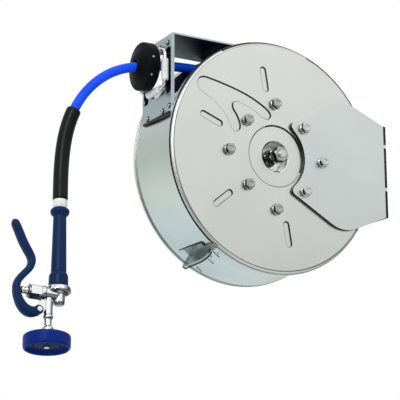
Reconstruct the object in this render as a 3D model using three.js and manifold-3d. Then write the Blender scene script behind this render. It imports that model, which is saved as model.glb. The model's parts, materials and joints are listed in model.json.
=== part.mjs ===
// A wall-held, spring-rewound hose reel in stainless steel, with a blue hose and a hand spray valve.
//
// Millimetres, +Z up. The origin is on the wall face of the wall plate, level with the reel's axle and
// midway between the two side plates. The reel stands off the wall towards -X, its axle lies along Y,
// and its bolted front cover faces -Y. The hose leaves towards -X through four rollers and hangs down.
//
// Inside reelGroup the frame is the reel's own: x = z = 0 on the axle and y = 0 on the front cover.
// Inside toolGroup z = 0 is the upper face of the hose ferrule and the hand grip runs down -z.

import * as THREE from 'three';
import { mergeVertices } from 'three/addons/utils/BufferGeometryUtils.js';
import Module from 'manifold-3d';

const wasm = await Module();
wasm.setup();

// ---------------------------------------------------------------- driving dimensions

const GAP = 0.3; // clearance between pieces that touch or run on each other
const SHEET = 1.5; // case sheet thickness
const FINE = 48; // facets round the case
const MEDIUM = 28; // facets round the drum
const COARSE = 18; // facets round small turned pieces
const RIB_FACETS = 36; // facets round the cover's pressed rib

// Case
const COVER_R = 200;
const COVER_EDGE_R = 5; // rolled edge between the cover's face and its rim
const BAND_R = 198.5;
const FRONT_BEAD_R = 202;
const BEAD_WIDTH = 4.5;
const REAR_RIM_R = 203.8;
const CASE_DEPTH = 128.8;
const HUB_RECESS_R = 52.7;
const CUP_R = 24.5;
const CUP_DEPTH = 27;
const EMBOSS_DEPTH = 2;
const SLOT_ANGLES = [99, 159, 219, 279]; // pressed radial slots, in degrees from +X towards +Z
const SLOT_MIDDLE_R = 134;
const SLOT_LENGTH = 43;
const SLOT_WIDTH = 10;
const WINDOW_ANGLES = [116, 152]; // degrees round the band, from +X towards +Z
const WINDOW_Y = [24, 96];

// Side plates and wall plate
const PLATE = 5;
const WALL_X = 229; // reel axle to wall
const WALL_HALF_HEIGHT = 83;
const WALL_HOLE_R = 5.5;
const WALL_HOLES_Y = [30, 98];
const WALL_HOLES_Z = [-62, 62];
const SCALLOP_R = 65; // scallop that clears the hub
const SCALLOP_X = -9.7;
const LUG_LEVELS = [46, -32];
const LUG_HEIGHT = 6;

// Bolts
const BOLT_CIRCLE_MAIN = 91.8;
const BOLT_CIRCLE_DIAGONAL = 78.3;
const BOLT_ANGLES = [0, 45, 90, 135, 180, 225, 270, 315];
const PLATE_BOLT_ANGLES = [0, 45, 315]; // the bolts that also hold a side plate
const BOLT_SHANK_R = 5;
const BOLT_WASHER_R = 10;
const BOLT_ACROSS_FLATS = 16;

// Angle bracket on the band
const BRACKET_ANGLES = [-129.1, -123.2]; // its foot's end and its bend
const BRACKET_SHEET = 2;
const BRACKET_Y = [32.5, 107];
const BRACKET_LEG = [ // y and radius, round the leg that stands out
  [32.5, 199], [31.5, 206], [34, 210.5], [40, 214], [52, 217], [76, 218.8], [97, 221], [110, 214.5], [107, 199],
];
const CLIP_ANGLE = -126;
const CLIP_WIDTH = 9;
const CLIP_OUTLINE = [ // y and radius
  [1, 200.6], [1, 205.4], [12.5, 205.4], [14.5, 203], [32.2, 203], [32.2, 199], [11.2, 199], [11.2, 202.4],
  [4.6, 202.4], [4.6, 200.6],
];

// Guide arm and rollers
const ARM_SHEET = 3;
const ARM_X = -195.5; // outer face of the end plate
const ARM_TOP_Z = 189.5;
const ARM_BOTTOM_Z = 52.5;
const ARM_LIP = 3; // how far the end plate's front edge is turned back
const ARM_LIP_BOTTOM_Z = 66;
const ARM_ROOT_X = -69;
const ARM_Y = [10, 112];
const HOSE_Y = 60;
const ROLLER_X = -201.5;
const ROLLER_R = 6.25;
const UPRIGHT_ROLLER_Z = [108, 144.5];
const LEVEL_ROLLER_Y = [35.5, 79.5];
const ROLLER_ROD_R = 3.3;
const ROD_CORNER_R = 13;
const ROLLER_Y = [21, 99]; // the upright rollers' axes
const ROLLER_Z = [97, 163]; // the level rollers' axes
const ROD_END_Y = 84.5; // where the bent rod's ends enter the end plate
const SLOT_Z = [86, 166]; // the slots behind the upright rollers
const SLOT_MARGIN = 2.4; // from an upright roller to its slot's edge
const BACKING = 1.8; // thickness of the strips behind the slots
const MOUTH_Y = [33, 83];

// Drum
const CORE_R = 107.7;
const COIL_R = 156;
const FLANGE_R = 178;
const DRUM_Y = [20, 120];
const INLET_BORE_R = 6.5;
const RATCHET_TEETH = 12;
const RATCHET_R = 74;
const RATCHET_BORE_R = 58;
const RATCHET_START = 230; // degrees of the first tooth's root
const PAWL_PIN = [-61.6, -78.8]; // x, z
const PAWL_LIFT = 36; // degrees the pawl stands clear of the teeth

// Hose: the centreline of the stretch from the coil to the ferrule
const HOSE_R = 8;
const HOSE_ROUTE = [
  [-80, 60, 150.5], [-110, 60, 151], [-140, 60, 150.4], [-170, 60, 148.2], [-197, 60, 144.4],
  [-220, 60, 139.6], [-240, 60, 135], [-256, 60.2, 130.2], [-278.2, 60.7, 120], [-298.1, 61.5, 106.4],
  [-315.1, 62.8, 90.2], [-329.1, 64.3, 72.3], [-340, 65.9, 52.9], [-348.1, 67.4, 32.5],
  [-353.8, 68.7, 11.6], [-357.6, 69.4, -9.8], [-360.3, 68.7, -31.4], [-362.5, 66.6, -53.1],
  [-364.6, 62.9, -75], [-366.3, 58.9, -92.2],
];
const STOP_X = -218.6; // middle of the hose stop
const STOP_Z = 139;
const STOP_R = 40.8;
const STOP_LEAN = -2; // degrees about Y
const SLEEVE_START = 0.655; // share of the hose's length where the guard sleeve begins

// Spray tool
const TOOL_TOP = [-367.5, 56.2, -107.9]; // upper face of the ferrule, in the reel frame
const TOOL_TILT = -10.5; // degrees off plumb, towards the front
const TOOL_TILT_AXIS = [0.919, -0.395, 0];
const GRIP_Z = [-13.5, -144.2];
const BOSS_X = 1.5;
const OUTLET_X = -15.6;
const BONNET_Z = -157.3;
const BONNET_X = [-47.5, -29.8];
const PLUNGER_TIP_X = -61.7;
const PIVOT = [-33, -186]; // x, z of the lever's pin
const PIN_R = 2.5;
const LUG_HALF_WIDTH = 3.5;
const LEVER_WIDTH = 16;
const LEVER_LINE = [ // x, z and half the thickness
  [-76.2, -45.2, 2.6], [-75.2, -47.6, 4.6], [-72.2, -53.7, 6], [-66.4, -65.8, 6.3], [-60.7, -78, 6.3],
  [-53.8, -89.8, 6.2], [-46.8, -101.3, 5.9], [-44.9, -107.8, 5.7], [-45.7, -114.4, 5.6],
  [-48.9, -121.5, 5.5], [-55, -128.9, 5.5], [-61.2, -136.4, 5.5], [-66, -143.6, 5.4],
  [-68.1, -150.3, 5.4], [-68.1, -156.6, 5.5], [-67.5, -162.9, 5.7], [-65.6, -168.9, 6.1],
  [-63, -174.9, 6.7], [-58.8, -181.4, 7.5], [-52.6, -187, 8.2], [-45, -189.6, 8.3],
  [-38.5, -188.6, 7.6], [-33, -186, 7],
];
const HEAD_X = -16.6;
const HEAD_R = 36;
const HEAD_Z = [-219, -244.6];

// ---------------------------------------------------------------- geometry helpers

// A closed BufferGeometry becomes a solid with its faces pointing out.
function solid(geometry) {
  const bare = new THREE.BufferGeometry();
  const loose = geometry.index ? geometry.toNonIndexed() : geometry;
  bare.setAttribute('position', loose.getAttribute('position').clone());
  const merged = mergeVertices(bare, 1e-3);
  const position = merged.getAttribute('position');
  const corners = [0, 1, 2].map(() => new THREE.Vector3());
  const triangles = [];
  let volume = 0;
  for (let i = 0; i < merged.index.count; i += 3) {
    const ids = [0, 1, 2].map((k) => merged.index.getX(i + k));
    if (ids[0] === ids[1] || ids[1] === ids[2] || ids[2] === ids[0]) continue;
    ids.forEach((id, k) => corners[k].fromBufferAttribute(position, id));
    volume += corners[0].dot(corners[1].clone().cross(corners[2]));
    triangles.push(ids);
  }
  const ordered = volume < 0 ? triangles.map(([a, b, c]) => [a, c, b]) : triangles;
  return new wasm.Manifold(new wasm.Mesh({
    numProp: 3,
    vertProperties: new Float32Array(position.array),
    triVerts: new Uint32Array(ordered.flat()),
  }));
}

function join(...solids) {
  return solids.reduce((sum, next) => sum.add(next));
}

function cut(body, ...tools) {
  return tools.reduce((rest, tool) => rest.subtract(tool), body);
}

// A solid becomes a named mesh with its look.
function meshOf(name, body, look) {
  const { vertProperties, triVerts } = body.getMesh();
  const geometry = new THREE.BufferGeometry();
  geometry.setAttribute('position', new THREE.BufferAttribute(new Float32Array(vertProperties), 3));
  geometry.setIndex(new THREE.BufferAttribute(new Uint32Array(triVerts), 1));
  geometry.computeVertexNormals();
  const mesh = new THREE.Mesh(geometry, new THREE.MeshStandardMaterial(look));
  mesh.name = name;
  return mesh;
}

function basis(xAxis, yAxis, zAxis) {
  return new THREE.Matrix4().makeBasis(
    new THREE.Vector3(...xAxis), new THREE.Vector3(...yAxis), new THREE.Vector3(...zAxis));
}

const ALONG_X = basis([0, 1, 0], [0, 0, 1], [1, 0, 0]); // outline (y, z), extruded along x
const UPRIGHT = basis([1, 0, 0], [0, 0, 1], [0, -1, 0]); // y goes to z, and z to -y
const LATHE_X = basis([0, 1, 0], [1, 0, 0], [0, 0, -1]); // a lathe's axis laid along x

function extrude(outline, depth, curveSegments = 6) {
  return new THREE.ExtrudeGeometry(outline, { depth, bevelEnabled: false, curveSegments });
}

// A plate that faces the cover: its outline is in x and z.
function plateY(outline, y0, y1, curveSegments) {
  return solid(extrude(outline, y1 - y0, curveSegments).applyMatrix4(UPRIGHT).translate(0, y1, 0));
}

// A plate that faces along x: its outline is in y and z.
function plateX(outline, x0, x1, curveSegments) {
  return solid(extrude(outline, x1 - x0, curveSegments).applyMatrix4(ALONG_X).translate(x0, 0, 0));
}

function box(x, y, z) {
  const block = new THREE.BoxGeometry(x[1] - x[0], y[1] - y[0], z[1] - z[0]);
  return solid(block.translate((x[0] + x[1]) / 2, (y[0] + y[1]) / 2, (z[0] + z[1]) / 2));
}

// A profile of [radius, height] pairs, turned about the reel's axle.
function turned(profile, segments) {
  return solid(latheOf(profile, segments));
}

function latheOf(profile, segments) {
  const points = profile.map(([r, y]) => new THREE.Vector2(r, y));
  if (profile[0][0] > 0) points.push(points[0].clone());
  return new THREE.LatheGeometry(points, segments);
}

function turnedZ(profile, segments, x = 0, y = 0) {
  return solid(latheOf(profile, segments).applyMatrix4(UPRIGHT).translate(x, y, 0));
}

function turnedX(profile, segments, y = 0, z = 0) {
  return solid(latheOf(profile, segments).applyMatrix4(LATHE_X).translate(0, y, z));
}

function discProfile(radius, low, high) {
  return [[0, low], [radius, low], [radius, high], [0, high]];
}

function ringProfile(inner, outer, low, high) {
  return [[inner, low], [outer, low], [outer, high], [inner, high]];
}

// A round bar along the reel's axle direction, at (x, z).
function barY(radius, y0, y1, x, z, segments = COARSE) {
  return solid(latheOf(discProfile(radius, y0, y1), segments).translate(x, 0, z));
}

function hexOutline(acrossFlats, x = 0, y = 0) {
  const outline = new THREE.Shape();
  const corner = acrossFlats / Math.sqrt(3);
  for (let i = 0; i < 6; i += 1) {
    const angle = Math.PI * (i / 3 + 1 / 6);
    const point = [x + corner * Math.cos(angle), y + corner * Math.sin(angle)];
    if (i === 0) outline.moveTo(...point);
    else outline.lineTo(...point);
  }
  outline.closePath();
  return outline;
}

// A polygon of [x, y, radius] corners, each rounded by its radius.
function roundedOutline(corners) {
  const outline = new THREE.Shape();
  corners.forEach(([x, y, radius], i) => {
    const corner = new THREE.Vector2(x, y);
    const before = new THREE.Vector2(...corners.at(i - 1));
    const after = new THREE.Vector2(...corners[(i + 1) % corners.length]);
    const into = before.sub(corner).normalize();
    const outOf = after.sub(corner).normalize();
    const reach = radius / Math.tan(Math.acos(into.dot(outOf)) / 2);
    const start = corner.clone().addScaledVector(into, reach);
    const end = corner.clone().addScaledVector(outOf, reach);
    if (i === 0) outline.moveTo(start.x, start.y);
    else outline.lineTo(start.x, start.y);
    outline.quadraticCurveTo(x, y, end.x, end.y);
  });
  outline.closePath();
  return outline;
}

function roundedRectangle(x, y, radius) {
  const corners = [[x[0], y[0]], [x[1], y[0]], [x[1], y[1]], [x[0], y[1]]];
  return roundedOutline(corners.map((corner) => [...corner, radius]));
}

function polar(radius, degrees) {
  const angle = THREE.MathUtils.degToRad(degrees);
  return [radius * Math.cos(angle), radius * Math.sin(angle)];
}

// A round bar or pipe bent along a curve; inner is the bore's radius, or 0.
function bentBar(curve, radius, inner, steps, sides) {
  const section = new THREE.Shape();
  section.absarc(0, 0, radius, 0, Math.PI * 2);
  if (inner > 0) {
    const bore = new THREE.Path();
    bore.absarc(0, 0, inner, 0, Math.PI * 2);
    section.holes.push(bore);
  }
  const options = { steps, extrudePath: curve, curveSegments: sides };
  return solid(new THREE.ExtrudeGeometry(section, options));
}

function splineOf(points, closed = false) {
  const places = points.map(([x, y, z = 0]) => new THREE.Vector3(x, y, z));
  return new THREE.CatmullRomCurve3(places, closed, 'centripetal');
}

// ---------------------------------------------------------------- looks

const STAINLESS = { color: 0xc9ccc8, roughness: 0.24, metalness: 1 };
const BRUSHED = { color: 0xb4bab9, roughness: 0.35, metalness: 1 };
const ZINC = { color: 0xb9bcbc, roughness: 0.3, metalness: 1 };
const DARK_STEEL = { color: 0x4a4d50, roughness: 0.5, metalness: 1 };
const CHROME = { color: 0xe2e5e6, roughness: 0.06, metalness: 1 };
const BRASS = { color: 0xb5924a, roughness: 0.35, metalness: 1 };
const BLACK_RUBBER = { color: 0x101113, roughness: 0.55, metalness: 0 };
const WHITE_PLASTIC = { color: 0xe6e9e7, roughness: 0.4, metalness: 0 };
const HOSE_BLUE = { color: 0x0f3ce0, roughness: 0.35, metalness: 0 };
const NAVY = { color: 0x1a2a63, roughness: 0.45, metalness: 0 };
const HEAD_BLUE = { color: 0x0a1f8c, roughness: 0.4, metalness: 0 };

const reelGroup = new THREE.Group();
const toolGroup = new THREE.Group();

function add(group, name, body, look) {
  group.add(meshOf(name, body, look));
}

// ---------------------------------------------------------------- front cover and its bolts

function boltPlace(degrees) {
  const radius = degrees % 90 === 0 ? BOLT_CIRCLE_MAIN : BOLT_CIRCLE_DIAGONAL;
  return polar(radius, degrees);
}

function boltHoles(angles, y0, y1) {
  return angles.map((degrees) => barY(BOLT_SHANK_R + GAP, y0, y1, ...boltPlace(degrees), 12));
}

// The bent rib pressed into the cover: a broad wedge with two arms.
function ribOutline() {
  const points = [
    [-151, 106], [-148, 114], [-140, 118], [-122, 116], [-98, 111], [-74, 105], [-51, 97.5],
    [-30, 87.6], [-14, 77.5], [-9.5, 70], [-14, 63], [-22, 63.5], [-41, 74], [-60, 82], [-74, 85.5],
    [-83, 82], [-84, 73.5], [-76, 61], [-70, 46], [-71.5, 37], [-79.5, 33], [-87, 40], [-94, 55],
    [-106.5, 69], [-122, 81.5], [-138, 90], [-147, 96],
  ];
  const outline = splineOf(points, true).getPoints(RIB_FACETS).slice(0, -1);
  return outline.map((p) => new THREE.Vector2(p.x, p.y));
}

function slotOutline(degrees) {
  const [cx, cz] = polar(SLOT_MIDDLE_R, degrees);
  const along = THREE.MathUtils.degToRad(degrees);
  const points = [];
  for (let i = 0; i < 12; i += 1) {
    const end = i < 6 ? 1 : -1;
    const turn = along + (i < 6 ? -Math.PI / 2 : Math.PI / 2) + (Math.PI * (i % 6)) / 5;
    const middle = (end * (SLOT_LENGTH - SLOT_WIDTH)) / 2;
    points.push(new THREE.Vector2(
      cx + middle * Math.cos(along) + (SLOT_WIDTH / 2) * Math.cos(turn),
      cz + middle * Math.sin(along) + (SLOT_WIDTH / 2) * Math.sin(turn)));
  }
  return points;
}

// Moves each point of a closed outline outwards by a distance; the outline runs either way round.
function grown(points, distance) {
  const side = THREE.ShapeUtils.isClockWise(points) ? -1 : 1;
  return points.map((point, i) => {
    const before = points.at(i - 1);
    const after = points[(i + 1) % points.length];
    const along = after.clone().sub(before).normalize();
    return new THREE.Vector2(point.x + side * distance * along.y, point.y - side * distance * along.x);
  });
}

// Presses an outline into the sheet: a tray is added behind it and its hollow is cut from the front.
function pressedIn(body, points, depth) {
  const tray = plateY(new THREE.Shape(grown(points, SHEET)), 0.5, depth + SHEET);
  const hollow = plateY(new THREE.Shape(points), -1, depth);
  return cut(join(body, tray), hollow);
}

function frontCover() {
  const inside = COVER_R - SHEET;
  const faceR = COVER_R - COVER_EDGE_R;
  const mid = COVER_EDGE_R * (1 - Math.SQRT1_2);
  const rimEnd = 5.2;
  const hub = EMBOSS_DEPTH;
  let body = turned([
    [CUP_R, hub], [HUB_RECESS_R, hub], [HUB_RECESS_R, 0], [faceR, 0], [COVER_R - mid, mid],
    [COVER_R, COVER_EDGE_R], [COVER_R, rimEnd], [inside, rimEnd], [inside - mid, mid + SHEET],
    [faceR - SHEET, SHEET], [HUB_RECESS_R + SHEET, SHEET], [HUB_RECESS_R + SHEET, hub + SHEET],
    [CUP_R + SHEET, hub + SHEET], [CUP_R + SHEET, CUP_DEPTH + 3], [7.5, CUP_DEPTH + 3],
    [7.5, CUP_DEPTH], [CUP_R, CUP_DEPTH],
  ], FINE);
  body = pressedIn(body, ribOutline(), EMBOSS_DEPTH);
  for (const degrees of SLOT_ANGLES) {
    body = pressedIn(body, slotOutline(degrees), EMBOSS_DEPTH);
  }
  body = cut(body, ...boltHoles(BOLT_ANGLES, -2, 4));
  add(reelGroup, 'front_cover', body, STAINLESS);
}

// A flange-head bolt whose washer face rests at y = seat, with its shank running to y = end.
function flangeBolt(degrees, seat, end) {
  const [x, z] = boltPlace(degrees);
  const washer = barY(BOLT_WASHER_R, seat - 2, seat, x, z, 12);
  const head = plateY(hexOutline(BOLT_ACROSS_FLATS, x, z), seat - 8.4, seat - 1.9);
  const shank = barY(BOLT_SHANK_R, seat - 1, end, x, z, 10);
  return join(washer, head, shank);
}

function bolts() {
  const plateSeat = -PLATE - 2 * GAP;
  for (const degrees of BOLT_ANGLES) {
    const label = String(degrees).padStart(3, '0');
    const onPlate = PLATE_BOLT_ANGLES.includes(degrees);
    const front = flangeBolt(degrees, onPlate ? plateSeat : -GAP, 8);
    add(reelGroup, `front_bolt_${label}`, front, ZINC);
    if (onPlate) {
      const rear = flangeBolt(degrees, plateSeat, 5).mirror([0, 1, 0]).translate([0, CASE_DEPTH, 0]);
      add(reelGroup, `rear_bolt_${label}`, rear, ZINC);
    }
  }
}

// ---------------------------------------------------------------- case band and rear cover

function caseBand() {
  const inner = BAND_R - SHEET;
  const front = COVER_EDGE_R + 0.5;
  const back = CASE_DEPTH - COVER_EDGE_R - GAP;
  const shell = turned([
    [inner, front], [FRONT_BEAD_R - 1, front], [FRONT_BEAD_R, front + 1],
    [FRONT_BEAD_R, front + BEAD_WIDTH - 1], [FRONT_BEAD_R - 1, front + BEAD_WIDTH],
    [BAND_R, front + BEAD_WIDTH], [BAND_R, back - BEAD_WIDTH], [FRONT_BEAD_R, back - BEAD_WIDTH],
    [FRONT_BEAD_R, back], [inner, back],
  ], FINE);
  const [low, high] = WINDOW_ANGLES.map(THREE.MathUtils.degToRad);
  const sector = new THREE.Shape();
  sector.absarc(0, 0, BAND_R + 6, low, high);
  sector.absarc(0, 0, inner - 6, high, low, true);
  sector.closePath();
  add(reelGroup, 'case_band', cut(shell, plateY(sector, ...WINDOW_Y, 8)), BRUSHED);
}

function rearCover() {
  const outer = REAR_RIM_R;
  const front = CASE_DEPTH - COVER_EDGE_R;
  const body = turned([
    [17, CASE_DEPTH], [17, CASE_DEPTH - SHEET], [outer - 3.5, CASE_DEPTH - SHEET],
    [outer - SHEET, CASE_DEPTH - 3.5], [outer - SHEET, front], [outer, front],
    [outer, CASE_DEPTH - 2], [outer - 2, CASE_DEPTH],
  ], FINE);
  const holes = boltHoles(PLATE_BOLT_ANGLES, CASE_DEPTH - 4, CASE_DEPTH + 2);
  add(reelGroup, 'rear_cover', cut(body, ...holes), STAINLESS);
}

// ---------------------------------------------------------------- side plates and wall plate

function sidePlateOutline() {
  const edge = WALL_X - PLATE - GAP;
  const scallopZ = 49;
  const scallopTurn = Math.acos((33.5 - SCALLOP_X) / SCALLOP_R);
  const outline = new THREE.Shape();
  outline.absarc(SCALLOP_X, 0, SCALLOP_R, scallopTurn, -scallopTurn, true);
  outline.lineTo(30, -scallopZ - 5);
  outline.quadraticCurveTo(28, -61, 36, -64.5);
  outline.lineTo(108, -106);
  outline.quadraticCurveTo(131, -119, 158, -110);
  outline.lineTo(edge, -WALL_HALF_HEIGHT);
  for (const level of [...LUG_LEVELS].reverse()) {
    outline.lineTo(edge, level - LUG_HEIGHT / 2);
    outline.lineTo(WALL_X - GAP, level - LUG_HEIGHT / 2);
    outline.lineTo(WALL_X - GAP, level + LUG_HEIGHT / 2);
    outline.lineTo(edge, level + LUG_HEIGHT / 2);
  }
  outline.lineTo(edge, WALL_HALF_HEIGHT);
  outline.lineTo(158, 110);
  outline.quadraticCurveTo(131, 119, 108, 106);
  outline.lineTo(36, 64.5);
  outline.quadraticCurveTo(28, 61, 30, scallopZ + 5);
  outline.closePath();
  return outline;
}

function sidePlate(name, y0) {
  const blank = plateY(sidePlateOutline(), y0, y0 + PLATE, 10);
  const holes = boltHoles(PLATE_BOLT_ANGLES, y0 - 1, y0 + PLATE + 1);
  add(reelGroup, name, cut(blank, ...holes), STAINLESS);
}

function wallPlate() {
  const front = -PLATE - GAP;
  const back = CASE_DEPTH + GAP + PLATE;
  const height = [-WALL_HALF_HEIGHT, WALL_HALF_HEIGHT];
  let body = box([WALL_X - PLATE, WALL_X], [front, back], height);
  for (const level of LUG_LEVELS) {
    const notch = [level - LUG_HEIGHT / 2 - GAP, level + LUG_HEIGHT / 2 + GAP];
    body = cut(body,
      box([WALL_X - 9, WALL_X + 1], [front - 1, GAP], notch),
      box([WALL_X - 9, WALL_X + 1], [CASE_DEPTH, back + 1], notch));
  }
  for (const y of WALL_HOLES_Y) {
    for (const z of WALL_HOLES_Z) {
      const hole = turnedX(discProfile(WALL_HOLE_R, WALL_X - 9, WALL_X + 1), 24, y, z);
      body = cut(body, hole);
    }
  }
  add(reelGroup, 'wall_plate', body, STAINLESS);
}

// ---------------------------------------------------------------- bracket and clip on the band

// A sheet whose outline is given as y and radius, standing across the band at an angle.
function standingSheet(outline, degrees, from, thickness) {
  const angle = THREE.MathUtils.degToRad(degrees);
  const outward = [Math.cos(angle), 0, Math.sin(angle)];
  const across = [Math.sin(angle), 0, -Math.cos(angle)];
  const shape = new THREE.Shape(outline.map(([y, radius]) => new THREE.Vector2(y, radius)));
  const placed = extrude(shape, thickness).translate(0, 0, from);
  return solid(placed.applyMatrix4(basis([0, 1, 0], outward, across)));
}

// An angle bracket on the band at the lower left, one leg on the band and one standing out, and the
// clip that reaches from it over the bead and the cover's rim.
function rimBracket() {
  const [footEnd, bend] = BRACKET_ANGLES.map(THREE.MathUtils.degToRad);
  const low = BAND_R + GAP;
  const foot = new THREE.Shape();
  foot.absarc(0, 0, low, footEnd, bend);
  foot.absarc(0, 0, low + BRACKET_SHEET, bend, footEnd, true);
  foot.closePath();
  const leg = standingSheet(BRACKET_LEG, BRACKET_ANGLES[1], 0, BRACKET_SHEET);
  add(reelGroup, 'rim_bracket', join(plateY(foot, ...BRACKET_Y, 4), leg), STAINLESS);
  const clip = standingSheet(CLIP_OUTLINE, CLIP_ANGLE, -CLIP_WIDTH / 2, CLIP_WIDTH);
  add(reelGroup, 'rim_clip', clip, STAINLESS);
}

// ---------------------------------------------------------------- guide arm, rollers and their rods

function guideArm() {
  const bend = 5;
  const x = ARM_X;
  const z = ARM_TOP_Z;
  const t = ARM_SHEET;
  const profile = new THREE.Shape();
  profile.moveTo(x, ARM_BOTTOM_Z);
  profile.lineTo(x + t, ARM_BOTTOM_Z);
  profile.lineTo(x + t, z - bend);
  profile.quadraticCurveTo(x + t, z - t, x + bend, z - t);
  profile.lineTo(ARM_ROOT_X, z - t);
  profile.lineTo(ARM_ROOT_X, z);
  profile.lineTo(x + bend, z);
  profile.quadraticCurveTo(x, z, x, z - bend);
  profile.closePath();
  const through = [x - 5, x + t + 5];
  const slotHalf = ROLLER_R + SLOT_MARGIN;
  const upright = ROLLER_Y.map((y) => roundedRectangle([y - slotHalf, y + slotHalf], SLOT_Z, 6));
  const mouth = roundedRectangle(MOUTH_Y, [ROLLER_Z[0] - slotHalf, ROLLER_Z[1] + slotHalf], 6);
  const holes = [...upright, mouth].map((outline) => plateX(outline, ...through, 3));
  const rodHoles = ROLLER_Z.map((level) => turnedX(
    discProfile(ROLLER_ROD_R + GAP, ...through), 10, ROD_END_Y, level));
  const lip = box([x + t - 1, x + t + ARM_LIP], [ARM_Y[0], ARM_Y[0] + 2], [ARM_LIP_BOTTOM_Z, z - t]);
  const body = cut(join(plateY(profile, ...ARM_Y, 4), lip), ...holes, ...rodHoles);
  add(reelGroup, 'guide_arm', body, STAINLESS);

  const inner = x + t + GAP;
  const overlap = 2;
  const names = ['slot_backing_front', 'slot_backing_back'];
  ROLLER_Y.forEach((y, i) => {
    const strip = box(
      [inner, inner + BACKING], [y - slotHalf - 0.3, y + slotHalf + overlap],
      [SLOT_Z[0] - overlap, SLOT_Z[1] + overlap]);
    add(reelGroup, names[i], strip, BLACK_RUBBER);
  });
}

// One bent rod carries three rollers, and its two ends pass through the end plate.
function rollerRods() {
  const [frontY, backY] = ROLLER_Y;
  const [low, high] = ROLLER_Z;
  const cornerR = ROD_CORNER_R;
  const endR = 3.6;
  const inside = ARM_X + ARM_SHEET + 4;
  const line = new THREE.CurvePath();
  const at = (x, y, z) => new THREE.Vector3(x, y, z);
  const straight = (from, to) => line.add(new THREE.LineCurve3(from, to));
  const turn = (from, corner, to) => line.add(new THREE.QuadraticBezierCurve3(from, corner, to));
  const endOf = (z) => [
    at(inside, ROD_END_Y, z), at(ROLLER_X + endR, ROD_END_Y, z), at(ROLLER_X, ROD_END_Y, z),
    at(ROLLER_X, ROD_END_Y - endR, z)];
  const lowEnd = endOf(low);
  const highEnd = endOf(high).reverse();
  straight(lowEnd[0], lowEnd[1]);
  turn(lowEnd[1], lowEnd[2], lowEnd[3]);
  straight(lowEnd[3], at(ROLLER_X, frontY + cornerR, low));
  turn(at(ROLLER_X, frontY + cornerR, low), at(ROLLER_X, frontY, low), at(ROLLER_X, frontY, low + cornerR));
  straight(at(ROLLER_X, frontY, low + cornerR), at(ROLLER_X, frontY, high - cornerR));
  turn(
    at(ROLLER_X, frontY, high - cornerR), at(ROLLER_X, frontY, high),
    at(ROLLER_X, frontY + cornerR, high));
  straight(at(ROLLER_X, frontY + cornerR, high), highEnd[0]);
  turn(highEnd[0], highEnd[1], highEnd[2]);
  straight(highEnd[2], highEnd[3]);
  add(reelGroup, 'roller_rod_bent', bentBar(line, ROLLER_ROD_R, 0, 44, 4), ZINC);

  const footHalf = 2.5;
  const footHeight = 3;
  const [rollerLow, rollerHigh] = UPRIGHT_ROLLER_Z;
  const rodZ = [rollerLow - footHeight - GAP, rollerHigh + footHeight + GAP];
  const rod = turnedZ(discProfile(ROLLER_ROD_R, ...rodZ), 10, ROLLER_X, backY);
  const feet = [rodZ[0], rodZ[1] - footHeight].map((z) => box(
    [ROLLER_X, ARM_X + ARM_SHEET], [backY - footHalf, backY + footHalf], [z, z + footHeight]));
  add(reelGroup, 'roller_rod_straight', join(rod, ...feet), ZINC);
}

function rollers() {
  const bore = ROLLER_ROD_R + 0.35;
  const chamfer = 1;
  const profile = ([low, high]) => [
    [bore, low], [ROLLER_R - chamfer, low], [ROLLER_R, low + chamfer], [ROLLER_R, high - chamfer],
    [ROLLER_R - chamfer, high], [bore, high],
  ];
  const names = ['guide_roller_front', 'guide_roller_back'];
  ROLLER_Y.forEach((y, i) => {
    add(reelGroup, names[i], turnedZ(profile(UPRIGHT_ROLLER_Z), 16, ROLLER_X, y), WHITE_PLASTIC);
  });
  const levelNames = ['guide_roller_bottom', 'guide_roller_top'];
  ROLLER_Z.forEach((z, i) => {
    const body = solid(latheOf(profile(LEVEL_ROLLER_Y), 16).translate(ROLLER_X, 0, z));
    add(reelGroup, levelNames[i], body, WHITE_PLASTIC);
  });
}

// ---------------------------------------------------------------- axle, spring and drum

function arborAndNuts() {
  const shaft = turned([
    [0, -23], [6, -23], [6.5, -22], [6.5, 31], [11, 31], [11, 66], [0, 66],
  ], COARSE);
  add(reelGroup, 'spring_arbor', shaft, ZINC);
  const bore = 6.5 + GAP;
  const nut = (name, acrossFlats, y0, y1) => {
    const body = cut(plateY(hexOutline(acrossFlats), y0, y1), barY(bore, y0 - 1, y1 + 1, 0, 0));
    add(reelGroup, name, body, ZINC);
  };
  nut('arbor_clamp_nut', 24, 15, CUP_DEPTH - GAP);
  nut('arbor_tension_nut', 22, -1, 9);
  nut('arbor_lock_nut', 20, -18, -7);
}

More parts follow.
